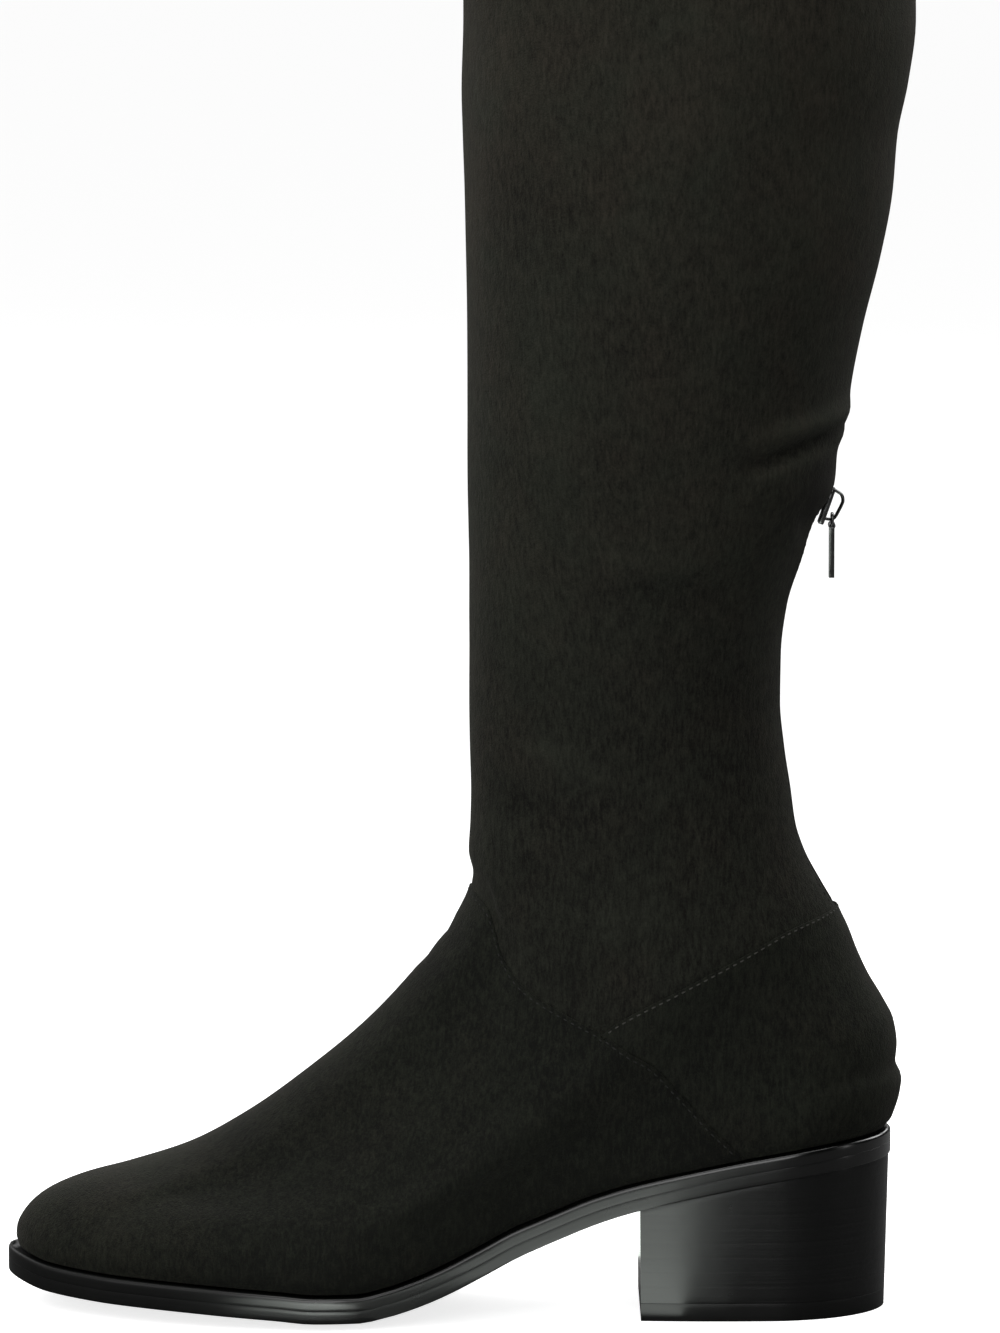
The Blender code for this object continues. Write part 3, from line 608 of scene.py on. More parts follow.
    @staticmethod
    def round_edges(obj: bpy.types.Object, width: float, segments: int = 2, angle: float = 55) -> None:
        """Rounds every edge sharper than an angle in degrees, by a width in millimetres."""
        Bench.modify(obj, "BEVEL", width=width * MM, segments=segments, limit_method="ANGLE",
                     angle_limit=math.radians(angle), harden_normals=False)

    @staticmethod
    def smooth(obj: bpy.types.Object, angle: float = 50) -> bpy.types.Object:
        """Shades smooth except over edges sharper than an angle in degrees.

        Args:
            obj: The piece.
            angle: Edges sharper than this stay sharp.

        Returns:
            The same piece.
        """
        Bench.pick(obj)
        bpy.ops.object.shade_smooth_by_angle(angle=math.radians(angle))
        return obj

    @staticmethod
    def repeat(name: str, first: bpy.types.Object, frames: Sequence[Matrix]) -> bpy.types.Object:
        """Sets a piece and copies of it, each with its own mesh, and joins them.

        Args:
            name: Name of the whole.
            first: The piece at the origin.
            frames: Where each one stands.

        Returns:
            The whole as one object.
        """
        copies = [first]
        for _ in frames[:-1]:
            copy = first.copy()
            copy.data = first.data.copy()
            bpy.context.collection.objects.link(copy)
            copies.append(copy)
        for copy, stand in zip([*copies[1:], first], frames):
            copy.data.transform(stand)
            if stand.determinant() < 0:
                copy.data.flip_normals()
        Bench.pick(*copies)
        bpy.ops.object.join()
        return Bench.named(name)

    @staticmethod
    def write(obj: bpy.types.Object, name: str, value: Callable[[Array], Array]) -> None:
        """Stores a number at each vertex, worked out from its place in millimetres."""
        layer = obj.data.attributes.new(name, "FLOAT", "POINT")
        layer.data.foreach_set("value", value(Bench.read(obj.data.vertices, "co") / MM).astype(np.float32))

    @staticmethod
    def dress(obj: bpy.types.Object, look: bpy.types.Material, slot: str, body: str, *nodes: str) -> None:
        """Gives a finished piece its material and its body, and hides the frame's nodes that it takes the place of.

        Args:
            obj: The piece.
            look: Its material.
            slot: Not used.
            body: The body that it rides on.
            nodes: The nodes of the frame that it takes the place of.
        """
        obj.data.materials.clear()
        obj.data.materials.append(look)
        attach(obj, body)
        if nodes:
            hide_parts(*nodes)
        LOG.info("%s: %d faces, on %s", obj.name, len(obj.data.polygons), body)


class Path:
    """A line through points, walked by the distance along it."""

    def __init__(self, points: Array) -> None:
        """Measures the line."""
        self.points = points
        self.run = np.concatenate([[0], np.cumsum(np.linalg.norm(np.diff(points, axis=0), axis=1))])

    def at(self, place: float, values: Array | None = None) -> Vector:
        """The point at a distance along the line, or the value there of other rows."""
        rows = self.points if values is None else values
        return Vector([float(np.interp(place, self.run, rows[:, k])) for k in range(3)])

    @staticmethod
    def frame(along: Vector, across: Vector, up: Vector, place: Vector) -> Matrix:
        """A frame with these three axes at a place.

        Args:
            along: Its X axis.
            across: Its Y axis.
            up: Its Z axis.
            place: Its origin.

        Returns:
            The frame as a matrix.
        """
        stand = Matrix((along, across, up)).transposed().to_4x4()
        stand.translation = place
        return stand


# ---------------------------------------------------------------- finishes


class Tree:
    """Wires a node tree: a node is added with its settings and its inputs at once."""

    def __init__(self, tree: bpy.types.NodeTree) -> None:
        """Takes the tree to wire."""
        self.tree = tree

    def fill(self, node: bpy.types.Node, inputs: dict) -> None:
        """Links or sets a node's inputs, by name or number.

        Args:
            node: The node.
            inputs: A value or a socket for each input.
        """
        for key, value in inputs.items():
            if isinstance(value, bpy.types.NodeSocket):
                self.tree.links.new(value, node.inputs[key])
            else:
                node.inputs[key].default_value = value

    def add(self, kind: str, inputs: dict | None = None, **settings: object) -> bpy.types.Node:
        """Adds a node.

        Args:
            kind: The node's type, without its ShaderNode prefix.
            inputs: Values or sockets for its inputs, by name or number.
            settings: Its own properties.

        Returns:
            The node.
        """
        node = self.tree.nodes.new(kind if kind.startswith("Node") else "ShaderNode" + kind)
        for key, value in settings.items():
            setattr(node, key, value)
        self.fill(node, inputs or {})
        return node

    def math(self, operation: str, a: object, b: object = 0.0, clamp: bool = False) -> bpy.types.NodeSocket:
        """One sum of two values or sockets."""
        return self.add("Math", {0: a, 1: b}, operation=operation, use_clamp=clamp).outputs[0]

    def line(self, value: object, slope: object, start: float = 0.0, clamp: bool = False) -> bpy.types.NodeSocket:
        """A value times a slope, from a start."""
        sums = {0: value, 1: slope, 2: start}
        return self.add("Math", sums, operation="MULTIPLY_ADD", use_clamp=clamp).outputs[0]

    def mix(self, factor: object, a: object, b: object) -> bpy.types.NodeSocket:
        """A mix of two colours, each a socket or red, green and blue."""
        a, b = ((*colour, 1) if isinstance(colour, tuple) else colour for colour in (a, b))
        return self.add("Mix", {0: factor, 6: a, 7: b}, data_type="RGBA").outputs[2]

    def noise(self, place: object, scale: float, detail: float = 3.0, roughness: float = 0.5) -> bpy.types.NodeSocket:
        """A noise between 0 and 1."""
        given = {"Vector": place, "Scale": scale, "Detail": detail, "Roughness": roughness}
        return self.add("TexNoise", given).outputs[0]

    def bands(self, place: object, pitch: float, direction: str, **more: float) -> bpy.types.NodeSocket:
        """Soft bands at a pitch in metres, with the wave's other inputs.

        Args:
            place: The coordinates to draw them in.
            pitch: Distance from band to band.
            direction: The axis that they step along.
            more: Other inputs of the wave, in small letters.

        Returns:
            A number between 0 and 1.
        """
        given = {key.replace("_", " ").title(): value for key, value in more.items()}
        inputs = {"Vector": place, "Scale": math.pi / pitch / 10, **given}
        return self.add("TexWave", inputs, bands_direction=direction).outputs["Fac"]

    def place(self, scale: Sequence[float] = (1, 1, 1)) -> bpy.types.NodeSocket:
        """The object's own coordinates, stretched."""
        source = self.add("TexCoord").outputs["Object"]
        return self.add("Mapping", {"Vector": source, "Scale": scale}).outputs[0]

    def written(self, name: str) -> bpy.types.NodeSocket:
        """A number that was stored at the vertices."""
        return self.add("Attribute", attribute_name=name).outputs["Fac"]

    def bump(self, height: bpy.types.NodeSocket, distance: float) -> bpy.types.NodeSocket:
        """A normal from a height."""
        return self.add("Bump", {"Height": height, "Distance": distance, "Strength": 1.0}).outputs[0]


class Look(Tree):
    """A material, wired from its name to its Principled shader."""

    def __init__(self, name: str) -> None:
        """Starts the material.

        Args:
            name: The material's name.
        """
        self.made = bpy.data.materials.new(name)
        self.made.use_nodes = True
        super().__init__(self.made.node_tree)

    def finish(self, inputs: dict[str, object]) -> bpy.types.Material:
        """Feeds the shader and gives the material."""
        self.fill(self.tree.nodes["Principled BSDF"], inputs)
        return self.made


def node_group(name: str, inputs: dict[str, float], outputs: Sequence[str]) -> tuple[Tree, dict, bpy.types.Node]:
    """Starts a shader node group with named number inputs and outputs.

    Args:
        name: Its name.
        inputs: Name and standard value of each number input; Vector is a vector.
        outputs: Names of its number outputs.

    Returns:
        The tree to wire, the sockets of its inputs by name, and its output node.
    """
    group = bpy.data.node_groups.new(name, "ShaderNodeTree")
    for key, value in inputs.items():
        kind = "NodeSocketVector" if key == "Vector" else "NodeSocketFloat"
        socket = group.interface.new_socket(key, in_out="INPUT", socket_type=kind)
        if kind == "NodeSocketFloat":
            socket.default_value = value
    for key in outputs:
        group.interface.new_socket(key, in_out="OUTPUT", socket_type="NodeSocketFloat")
    tree = Tree(group)
    source = tree.add("NodeGroupInput")
    return tree, {s.name: s for s in source.outputs if s.name}, tree.add("NodeGroupOutput")


class Effects:
    """The shared effects, each a node group that is built once."""

    @cached_property
    def nap(self) -> bpy.types.NodeTree:
        """Brushed fibres: soft patches and fine fibres as a shade, and a height."""
        tree, given, out = node_group(
            "nap", {"Vector": 0, "Patch": 22, "Mottle": 260, "Hair": 1000, "Fibre": 2200}, ("Shade", "Height")
        )
        place = given["Vector"]
        combed = tree.add("VectorMath", {0: place, 1: (1.0, 1.0, 0.4)}, operation="MULTIPLY").outputs[0]
        soft = tree.line(tree.noise(place, given["Patch"], 3, 0.6), 1.0, -0.5)
        middle = tree.line(tree.noise(place, given["Mottle"], 4, 0.62), 0.9, -0.45)
        brushed = tree.line(tree.noise(combed, given["Hair"], 2, 0.6), 2.2, -1.1)
        fine = tree.line(tree.noise(place, given["Fibre"], 2, 0.7), 1.6, -0.8)
        shade = tree.math("ADD", tree.math("ADD", soft, middle), tree.math("ADD", brushed, fine))
        tree.fill(out, {"Shade": shade, "Height": tree.math("ADD", tree.line(middle, 0.8), tree.line(fine, 0.5))})
        return tree.tree

    @cached_property
    def polish(self) -> bpy.types.NodeTree:
        """Uneven polish: smears as a roughness shift, and a faint ripple as a height."""
        tree, given, out = node_group("polish", {"Vector": 0, "Smear": 60, "Ripple": 240}, ("Smears", "Height"))
        smears = tree.math("SUBTRACT", tree.noise(given["Vector"], given["Smear"], 5, 0.65), 0.5)
        tree.fill(out, {"Smears": smears, "Height": tree.noise(given["Vector"], given["Ripple"], 2, 0.5)})
        return tree.tree


EFFECTS = Effects()


@dataclass(frozen=True)
class Suede:
    """Near-black brushed suede, with a soft sheen where its fibres meet the light."""

    name: str
    dark: Colour = (0.0040, 0.0038, 0.0027)
    warm: Colour = (0.0338, 0.0306, 0.0226)
    cool: Colour = (0.0280, 0.0304, 0.0220)
    sheen: float = 0.06
    sheen_tint: Colour = (0.62, 0.60, 0.53)
    contrast: float = 0.62
    level: float = 0.49
    bump: float = 0.0004

    def build(self) -> bpy.types.Material:
        """Builds the material.

        Returns:
            The material.
        """
        look = Look(self.name)
        nap = look.add("Group", {"Vector": look.place((1, 1, 0.7))}, node_tree=EFFECTS.nap)
        fibres = nap.outputs["Shade"]
        # The stored attribute adds painted shade and highlights, of the creases, above the sole and behind the
        # slider, to the fibres' own shade
        shade = look.math("ADD", look.line(fibres, self.contrast, self.level), look.written("nap"), clamp=True)
        blotch = look.line(look.noise(look.place(), 38, 3, 0.6), 3.0, -1.5)
        tone = look.mix(look.math("ADD", blotch, look.written("warmth"), clamp=True), self.cool, self.warm)
        return look.finish({
            "Base Color": look.mix(shade, self.dark, tone),
            "Roughness": look.line(fibres, 0.06, 0.93, clamp=True),
            "Normal": look.bump(nap.outputs["Height"], self.bump),
            "Specular IOR Level": 0.12,
            "Sheen Weight": self.sheen,
            "Sheen Roughness": 0.42,
            "Sheen Tint": (*self.sheen_tint, 1),
        })


@dataclass(frozen=True)
class Polished:
    """Black edge paint or lacquer, waxed and faintly uneven, with optional stacked layers."""

    name: str
    dark: Colour = (0.0011, 0.0012, 0.0010)
    light: Colour = (0.0025, 0.0028, 0.0025)
    roughness: float = 0.24
    smears: float = 0.16
    ripple: float = 0.00006
    layers: float = 0.0
    layer_pitch: float = 0.0042
    coat: float = 1.0
    coat_roughness: float = 0.2
    dulled: float = 0.22

    def build(self) -> bpy.types.Material:
        """Builds the material.

        Returns:
            The material.
        """
        look = Look(self.name)
        polish = look.add("Group", {"Vector": look.place()}, node_tree=EFFECTS.polish)
        smears, height = polish.outputs["Smears"], polish.outputs["Height"]
        shade = look.math("ADD", smears, 0.5, clamp=True)
        if self.layers:
            wave = look.bands(look.place(), self.layer_pitch, "Z", distortion=0.6, detail=2,
                              detail_scale=0.6, detail_roughness=0.6)
            grain = look.noise(look.place((14, 14, 1100)), 1.0, 4, 0.7)
            cut = look.line(look.math("POWER", wave, 8.0), self.layers * 0.35)
            height = look.math("ADD", look.math("SUBTRACT", height, cut), look.line(grain, self.layers))
            shade = look.line(look.math("ADD", shade, grain), 0.6, clamp=True)
        wear = look.written("wear")
        rough = look.math("ADD", look.line(smears, self.smears), look.line(wear, self.dulled))
        gloss = look.math("SUBTRACT", 1.0, wear, clamp=True)
        return look.finish({
            "Base Color": look.mix(shade, self.dark, self.light),
            "Roughness": look.math("ADD", rough, self.roughness, clamp=True),
            "Coat Weight": look.line(gloss, self.coat),
            "Normal": look.bump(height, self.ripple),
            "Specular IOR Level": 0.22,
            "Coat Roughness": self.coat_roughness,
        })


@dataclass(frozen=True)
class Woven:
    """A fine woven or knitted cloth, for the zip's tapes and the lining."""

    name: str
    dark: Colour = (0.004, 0.004, 0.004)
    light: Colour = (0.016, 0.0155, 0.014)
    thread: float = 0.0006
    bump: float = 0.00018
    sheen: float = 0.05

    def build(self) -> bpy.types.Material:
        """Builds the material.

        Returns:
            The material.
        """
        look = Look(self.name)
        across = look.bands(look.place(), self.thread, "Z", distortion=0.4, detail=1)
        along = look.bands(look.place((1, 1, 0.2)), self.thread, "DIAGONAL", distortion=0.3, detail=1)
        weave = look.line(look.math("ADD", across, along), 0.5)
        fluff = look.noise(look.place(), 500, 3, 0.6)
        shade = look.line(look.line(weave, fluff), 1.7, clamp=True)
        return look.finish({
            "Base Color": look.mix(shade, self.dark, self.light),
            "Roughness": look.line(fluff, 0.15, 0.78),
            "Normal": look.bump(weave, self.bump),
            "Specular IOR Level": 0.25,
            "Sheen Weight": self.sheen,
        })


@dataclass(frozen=True)
class Plated:
    """Dark nickel plating, polished and faintly worn."""

    name: str
    colour: Colour = (0.085, 0.086, 0.084)
    worn: Colour = (0.17, 0.17, 0.165)
    roughness: float = 0.24

    def build(self) -> bpy.types.Material:
        """Builds the material.

        Returns:
            The material.
        """
        look = Look(self.name)
        given = {"Vector": look.place(), "Smear": 400.0, "Ripple": 2500.0}
        polish = look.add("Group", given, node_tree=EFFECTS.polish)
        smears = polish.outputs["Smears"]
        return look.finish({
            "Base Color": look.mix(look.line(smears, 3.0, clamp=True), self.colour, self.worn),
            "Roughness": look.line(smears, 0.3, self.roughness, clamp=True),
            "Normal": look.bump(polish.outputs["Height"], 0.00001),
            "Metallic": 1.0,
        })


@dataclass(frozen=True)
class Thread:
    """Twisted sewing thread."""

    name: str
    colour: Colour = (0.0105, 0.0105, 0.0085)

    def build(self) -> bpy.types.Material:
        """Builds the material.

        Returns:
            The material.
        """
        look = Look(self.name)
        twist = look.noise(look.place(), 3500, 2, 0.5)
        return look.finish({
            "Base Color": look.mix(twist, tuple(0.5 * c for c in self.colour), self.colour),
            "Roughness": look.line(twist, 0.2, 0.62),
            "Normal": look.bump(twist, 0.0001),
            "Specular IOR Level": 0.3,
        })


# ---------------------------------------------------------------- sewing


@dataclass
class Sewing:
    """Rows of stitches, each one a copy of the same lapped strands of thread."""

    pitch: float = 2.4
    share: float = 0.74
    thread: float = 0.42
    rows: list[bpy.types.Object] = field(default_factory=list)

    def stitch(self) -> bpy.types.Object:
        """Models one stitch along X at the origin: strands that dip into the leather at both ends.

        Returns:
            The stitch.
        """
        length, radius = self.pitch * self.share, self.thread / 2
        Bench.clear()
        bpy.ops.mesh.primitive_cylinder_add(
            vertices=8, radius=radius * MM, depth=length * 0.5 * MM, rotation=(0, math.pi / 2, 0)
        )
        obj = Bench.named("stitch")
        bpy.ops.object.transform_apply(location=False, rotation=True, scale=False)
        # Towards -X the whole strand is selected, so each step draws out a thinner copy that
        # laps it. Towards +X the end faces alone are drawn out.
        for end, facing in ((-1, -2), (1, 0.9)):
            with Bench.faces(obj, Bench.read(obj.data.polygons, "normal")[:, 0] > facing):
                Bench.draw_out((end * length * 0.17, 0, -radius * 0.5), (1, 0.8, 0.8))
                Bench.draw_out((end * length * 0.08, 0, -radius * 0.9), (1, 0.5, 0.5))
        return Bench.smooth(obj, 75)

    def row(self, name: str, points: Array, normals: Array) -> None:
        """Lays a row of stitches along a path.

        Args:
            name: Name of the row.
            points: Points in metres along the row.
            normals: The leather's normal at each point.
        """
        path = Path(points)
        count = int(path.run[-1] / (self.pitch * MM))
        frames = []
        for place in (np.arange(count) + 0.5) * path.run[-1] / count:
            behind, ahead = path.at(place - MM / 2), path.at(place + MM / 2)
            along = (ahead - behind).normalized()
            across = path.at(place, normals).normalized().cross(along).normalized()
            frames.append(Path.frame(along, across, along.cross(across), (behind + ahead) / 2))
        self.rows.append(Bench.repeat(name, self.stitch(), frames))


# ---------------------------------------------------------------- upper


@dataclass
class Upper:
    """Shaft, vamp, counter, collar and lining, all drawn on the last."""

    last: Last
    sewing: Sewing
    shaft_wall: float = 1.0
    vamp_out: float = 0.9
    vamp_wall: float = 0.8
    skived: float = 0.4
    counter_out: float = 0.5
    counter_wall: float = 0.4
    underlap: float = 8.0
    slot_half: float = 3.8
    side_columns: int = 74
    hem_height: float = 14.0
    hem_out: float = 0.5
    hem_round: float = 1.1
    lining_depth: float = 1.05
    lining_wall: float = 0.7
    lap_tuck: float = 0.045
    back_seam: tuple[float, float, float] = (0.28, 2.2, 1.1)
    back_cut: tuple[float, float] = (0.6, 0.6)
    sole_roll: tuple[float, float] = (0.9, 3.4)
    edge_stitch: float = 1.3
    slot_stitch: float = 2.4
    vamp_top_stitch: float = 1.4
    counter_stitch: float = 1.5
    sunk: float = 0.02
    green: dict[str, Colour] = field(default_factory=lambda: {
        "dark": (0.0032, 0.0035, 0.0025), "warm": (0.0252, 0.0240, 0.0174), "cool": (0.0215, 0.0243, 0.0168),
    })
    pieces: dict[str, bpy.types.Object] = field(default_factory=dict)

    def cloth(self, name: str, marks: Array, turns: Array, out: Array | float, wall: float) -> bpy.types.Object:
        """A piece of leather laid on the last.

        Args:
            name: Its name.
            marks: Mark of each row, upwards.
            turns: Turn at each row and column, from the greatest down.
            out: How far each point stands off the last, in millimetres.
            wall: Its thickness in millimetres.

        Returns:
            The piece as a closed solid.
        """
        obj = Bench.sheet(name, self.last.worn(marks[:, None], turns, out))
        Bench.thicken(obj, wall)
        return obj

    def slotted_turns(self, marks: Array, columns: int) -> Array:
        """Turns right round the leg, with columns along both edges of the zip's slot.

        Args:
            marks: Mark of each row.
            columns: Number of columns on each side.

        Returns:
            The turn at each row and column, from the greatest down.
        """
        edge = self.last.turn_at(marks, self.slot_half)[:, None]
        side = np.linspace(0, 1, columns)[None, 1:] * edge
        close = self.last.turn_at(marks[:, None], np.array([[2.6, 1.6, 0.9, 0.4, 0.0]]))
        half = np.concatenate([side, close], axis=1)
        return np.concatenate([half[:, ::-1], np.zeros((len(marks), 1)), -half], axis=1)

    def cut_slot(self, obj: bpy.types.Object) -> None:
        """Opens the zip's slot through a piece, and closes the leather's cut edge round it.

        Args:
            obj: The piece, a closed solid laid on the last.
        """
        last = self.last
        low, high = last.bare(np.array([last.top_line, last.slot_top]), np.full(2, math.pi))[:, 2] * MM
        x, y, z = Bench.read(obj.data.polygons, "center").T
        behind = x > (last.heel_back - 60) * MM
        with Bench.faces(obj, (np.abs(y) < (self.slot_half - 0.1) * MM) & (z > low) & (z < high) & behind):
            bpy.ops.mesh.delete(type="FACE")
        with Bench.editing(obj, "DESELECT"):
            bpy.ops.mesh.select_non_manifold()
            bpy.ops.mesh.bridge_edge_loops()
        Bench.outward(obj)

    def leg_marks(self, *stops: tuple[float, int]) -> Array:
        """Rows of the leg's pieces, in stretches that each end at a mark with a count."""
        rows = [np.linspace(a, b, count)[:-1] for (a, _), (b, count) in zip(stops, stops[1:])]
        return np.concatenate([*rows, [stops[-1][0]]])

    def build_shaft(self) -> bpy.types.Object:
        """The shaft, with its back seam above the zip and the slot for the zip.

        Returns:
            The shaft.
        """
        low, slot = self.last.top_line, self.last.slot_top
        marks = self.leg_marks(
            (low - self.underlap, 0), (low, 6), (slot, 74), (slot + 45, 28), (self.last.collar - 1, 96)
        )
        turns = self.slotted_turns(marks, self.side_columns)
        mark = marks[:, None]
        y = np.abs(self.last.half_at(mark) * np.sin(turns))
        (ridge, away, wide), (cut, narrow) = self.back_seam, self.back_cut
        seam = ridge * np.exp(-((y - away) / wide) ** 2) - cut * np.exp(-((y / narrow) ** 2))
        seam = seam * (np.abs(turns) > math.pi / 2) * smooth_step((mark - slot + 1) / 6)
        under = smooth_step((low + 1 - mark) / 4)
        obj = self.cloth("shaft", marks, turns, seam - 0.45 * under, self.shaft_wall)
        self.cut_slot(obj)
        Bench.round_edges(obj, 0.3)
        return Bench.smooth(obj)

    def foot_marks(self, count: int) -> Array:
        """Rows of the foot's pieces, closer together near the sole."""
        return np.concatenate([[0, 0.4, 0.9, 1.5, 2.2, 3.0], np.linspace(4.0, self.last.top_line, count)])

    def roll(self, marks: Array) -> Array:
        """How far the leather draws in where it turns under at the sole."""
        depth, reach = self.sole_roll
        return -depth * (1 - smooth_step(marks / reach)) ** 1.5

    def thinned(self, marks: Array) -> Array:
        """How much the vamp is skived towards its top edge."""
        return self.skived * smooth_step((marks - self.last.top_line + 16) / 14)

    def build_vamp(self) -> bpy.types.Object:
        """The vamp, from the toe to its slanted edge over the counter.

        Returns:
            The vamp.
        """
        marks = self.foot_marks(78)
        turns = np.linspace(1, -1, 151)[None, :] * self.last.vamp_turn(marks)[:, None]
        out = self.vamp_out + self.roll(marks) - self.thinned(marks)
        obj = self.cloth("vamp", marks, turns, out[:, None], self.vamp_wall)
        Bench.round_edges(obj, 0.34, 3)
        return Bench.smooth(obj)

    def build_counter(self) -> bpy.types.Object:
        """The counter round the heel; its front edges run in under the vamp.

        Returns:
            The counter.
        """
        marks = self.foot_marks(50)
        edge = self.last.vamp_turn(marks)[:, None]
        tuck = np.array([0.0, 0.4, 0.8, 1.2]) / 60.0
        share = np.concatenate([tuck[:-1], np.linspace(tuck[-1], 1 - tuck[-1], 140), 1 - tuck[:-1][::-1]])
        first = edge - self.lap_tuck
        turns = (2 * math.pi - first) + (2 * first - 2 * math.pi) * share[None, :]
        nearness = np.minimum(turns - edge, 2 * math.pi - edge - turns)
        under = smooth_step(1 - (nearness + 0.012) / 0.02)
        out = self.counter_out + self.roll(marks)[:, None] - 0.75 * under
        obj = self.cloth("counter", marks, turns, out, self.counter_wall)
        Bench.round_edges(obj, 0.18)
        return Bench.smooth(obj)

    def build_hem(self) -> bpy.types.Object:
        """The collar's turned hem: its profile carried round the top ring.

        Returns:
            The hem.
        """
        top, thick = self.last.collar, self.shaft_wall + self.lining_wall + 0.1
        low, out, bend = top - self.hem_height, self.hem_out, self.hem_round
        profile = [(-0.1, low), (out * 0.7, low + 0.1), (out, low + 0.5)]
        profile += [(out + 0.12, mark) for mark in np.linspace(low + 2, top - 3, 4)]
        profile += [(out / 2 - thick / 2 + (out + thick) / 2 * math.cos(a), top - bend + bend * math.sin(a))
                    for a in np.linspace(0, math.pi, 7)]
        profile += [(-thick, mark) for mark in np.linspace(top - 3, low + 1, 4)]
        stand_off, marks = np.array([*profile, (-thick + 0.3, low), profile[0]]).T[:, :, None]
        turns = np.linspace(math.pi, -math.pi, 161)[None, :]
        return Bench.smooth(Bench.sheet("collar_hem", self.last.worn(np.minimum(marks, top), turns, stand_off)))

    def build_lining(self) -> bpy.types.Object:
        """The lining inside shaft and foot, open along the zip's slot.

        Returns:
            The lining.
        """
        slot = self.last.slot_top
        marks = self.leg_marks(
            (3, 0), (self.last.top_line, 30), (slot, 60), (slot + 32, 28), (self.last.collar - 2, 50)
        )
        obj = self.cloth("lining", marks, self.slotted_turns(marks, 46), -self.lining_depth, self.lining_wall)
        self.cut_slot(obj)
        return Bench.smooth(obj)

    def seam(self, name: str, marks: Array | float, turns: Array, out: Array | float) -> None:
        """One row of stitches on the last, at places given by mark and turn."""
        marks = np.broadcast_to(marks, turns.shape)
        self.sewing.row(name, self.last.worn(marks, turns, out), self.last.normal(marks, turns))

    def sew(self) -> None:
        """The visible rows of stitches."""
        last, top = self.last, self.last.top_line
        foot = np.linspace(2.5, top - self.vamp_top_stitch, 120)
        slot = np.linspace(top + 1.5, last.slot_top + 2, 200)
        edge = last.vamp_turn(foot)
        reach = np.linalg.norm((last.bare(foot, edge) - last.bare(foot, edge - 0.01)) / 0.01, axis=-1)
        for side in Side:
            turns = side.value * (edge - self.edge_stitch / reach)
            self.seam(f"vamp_seam_{side.label}", foot, turns, self.vamp_out - self.sunk - self.thinned(foot))
            turns = side.value * last.turn_at(slot, self.slot_half + self.slot_stitch)
            self.seam(f"zip_seam_{side.label}", slot, turns, -self.sunk)
        start = float(last.vamp_turn(top)) + 0.03
        turns = np.linspace(start, 2 * math.pi - start, 240)
        self.seam("counter_seam", top - self.counter_stitch, turns, self.counter_out - self.sunk)
        turns = np.linspace(-start + 0.05, start - 0.05, 160)
        self.seam("vamp_top_seam", top - self.vamp_top_stitch, turns, self.vamp_out - self.skived - 2 * self.sunk)
        turns = np.linspace(-math.pi, math.pi, 300)
        self.seam("hem_seam", last.collar - self.hem_height + 2.4, turns, 0.56)

    def build(self) -> None:
        """Builds every piece of the upper."""
        self.pieces = {
            "shaft": self.build_shaft(), "vamp": self.build_vamp(), "counter": self.build_counter(),
            "hem": self.build_hem(), "lining": self.build_lining(),
        }
        self.sew()

    def nap(self, place: Array) -> Array:
        """Painted shade and highlight at points of the skin, in millimetres, and a lean in tone.

        Args:
            place: Points with X, Y and Z in each row.

        Returns:
            The painted shade at each point, lighter above 0.
        """
        x, _, z = place.T
        station = self.last.heel_back - x
        above = np.clip(z - self.last.sole.height(station, 8), 0, None)
        # Painted shade just above the sole, where the upper meets the welt
        painted_shade_at_sole = 0.1 * np.exp(-((above / 12) ** 1.5))
        # Lighter up the leg and on the toe, darker at the ankle and foot
        leg = 0.15 * smooth_step((z - 240) / 110) + 0.1 * smooth_step((z - 400) / 150)
        ankle = 0.16 * smooth_step((230 - z) / 60)
        toe = 0.2 * smooth_step((station - 190) / 35)
        # The folds give the creases' painted shade and highlights
        return self.last.folds(place)[1] - painted_shade_at_sole + leg - ankle + toe

    def warmth(self, place: Array) -> Array:
        """How warm the black is at points of the skin, warmest up the leg and on the toe.

        Args:
            place: Points with X, Y and Z in each row.

        Returns:
            0 for cool black, 1 for warm.
        """
        x, _, z = place.T
        leg = 0.2 + 0.5 * smooth_step((z - 180) / 200)
        toe = 0.25 * smooth_step((self.last.heel_back - x - 180) / 40)
        return np.where(z > 125, leg, 0.12 + toe)

    def dress(self) -> None:
        """Gives the leather its nap, its painted shade and highlights, and the rows their thread."""
        suede = Suede("black stretch suede").build()
        looks = {
            "shaft": suede,
            "vamp": Suede("black vamp suede", level=0.38, sheen=0.085, **self.green).build(),
            "counter": Suede("black counter suede", level=0.53, sheen=0.075, **self.green).build(),
            "hem": suede,
        }
        for key, look in looks.items():
            # Painted shade and highlight, stored at each vertex for the suede's colour
            Bench.write(self.pieces[key], "nap", self.nap)
            Bench.write(self.pieces[key], "warmth", self.warmth)
            Bench.dress(self.pieces[key], look, "suede", "boot", *(["upper"] if key == "shaft" else []))
        Bench.dress(self.pieces["lining"], Woven("black lining cloth").build(), "lining", "boot")
        thread = Thread("black thread").build()
        pale = Thread("counter thread", (0.062, 0.06, 0.052)).build()
        for row in self.sewing.rows:
            Bench.dress(row, pale if row.name.startswith("counter") else thread, "suede", "boot")


# ---------------------------------------------------------------- sole and heel


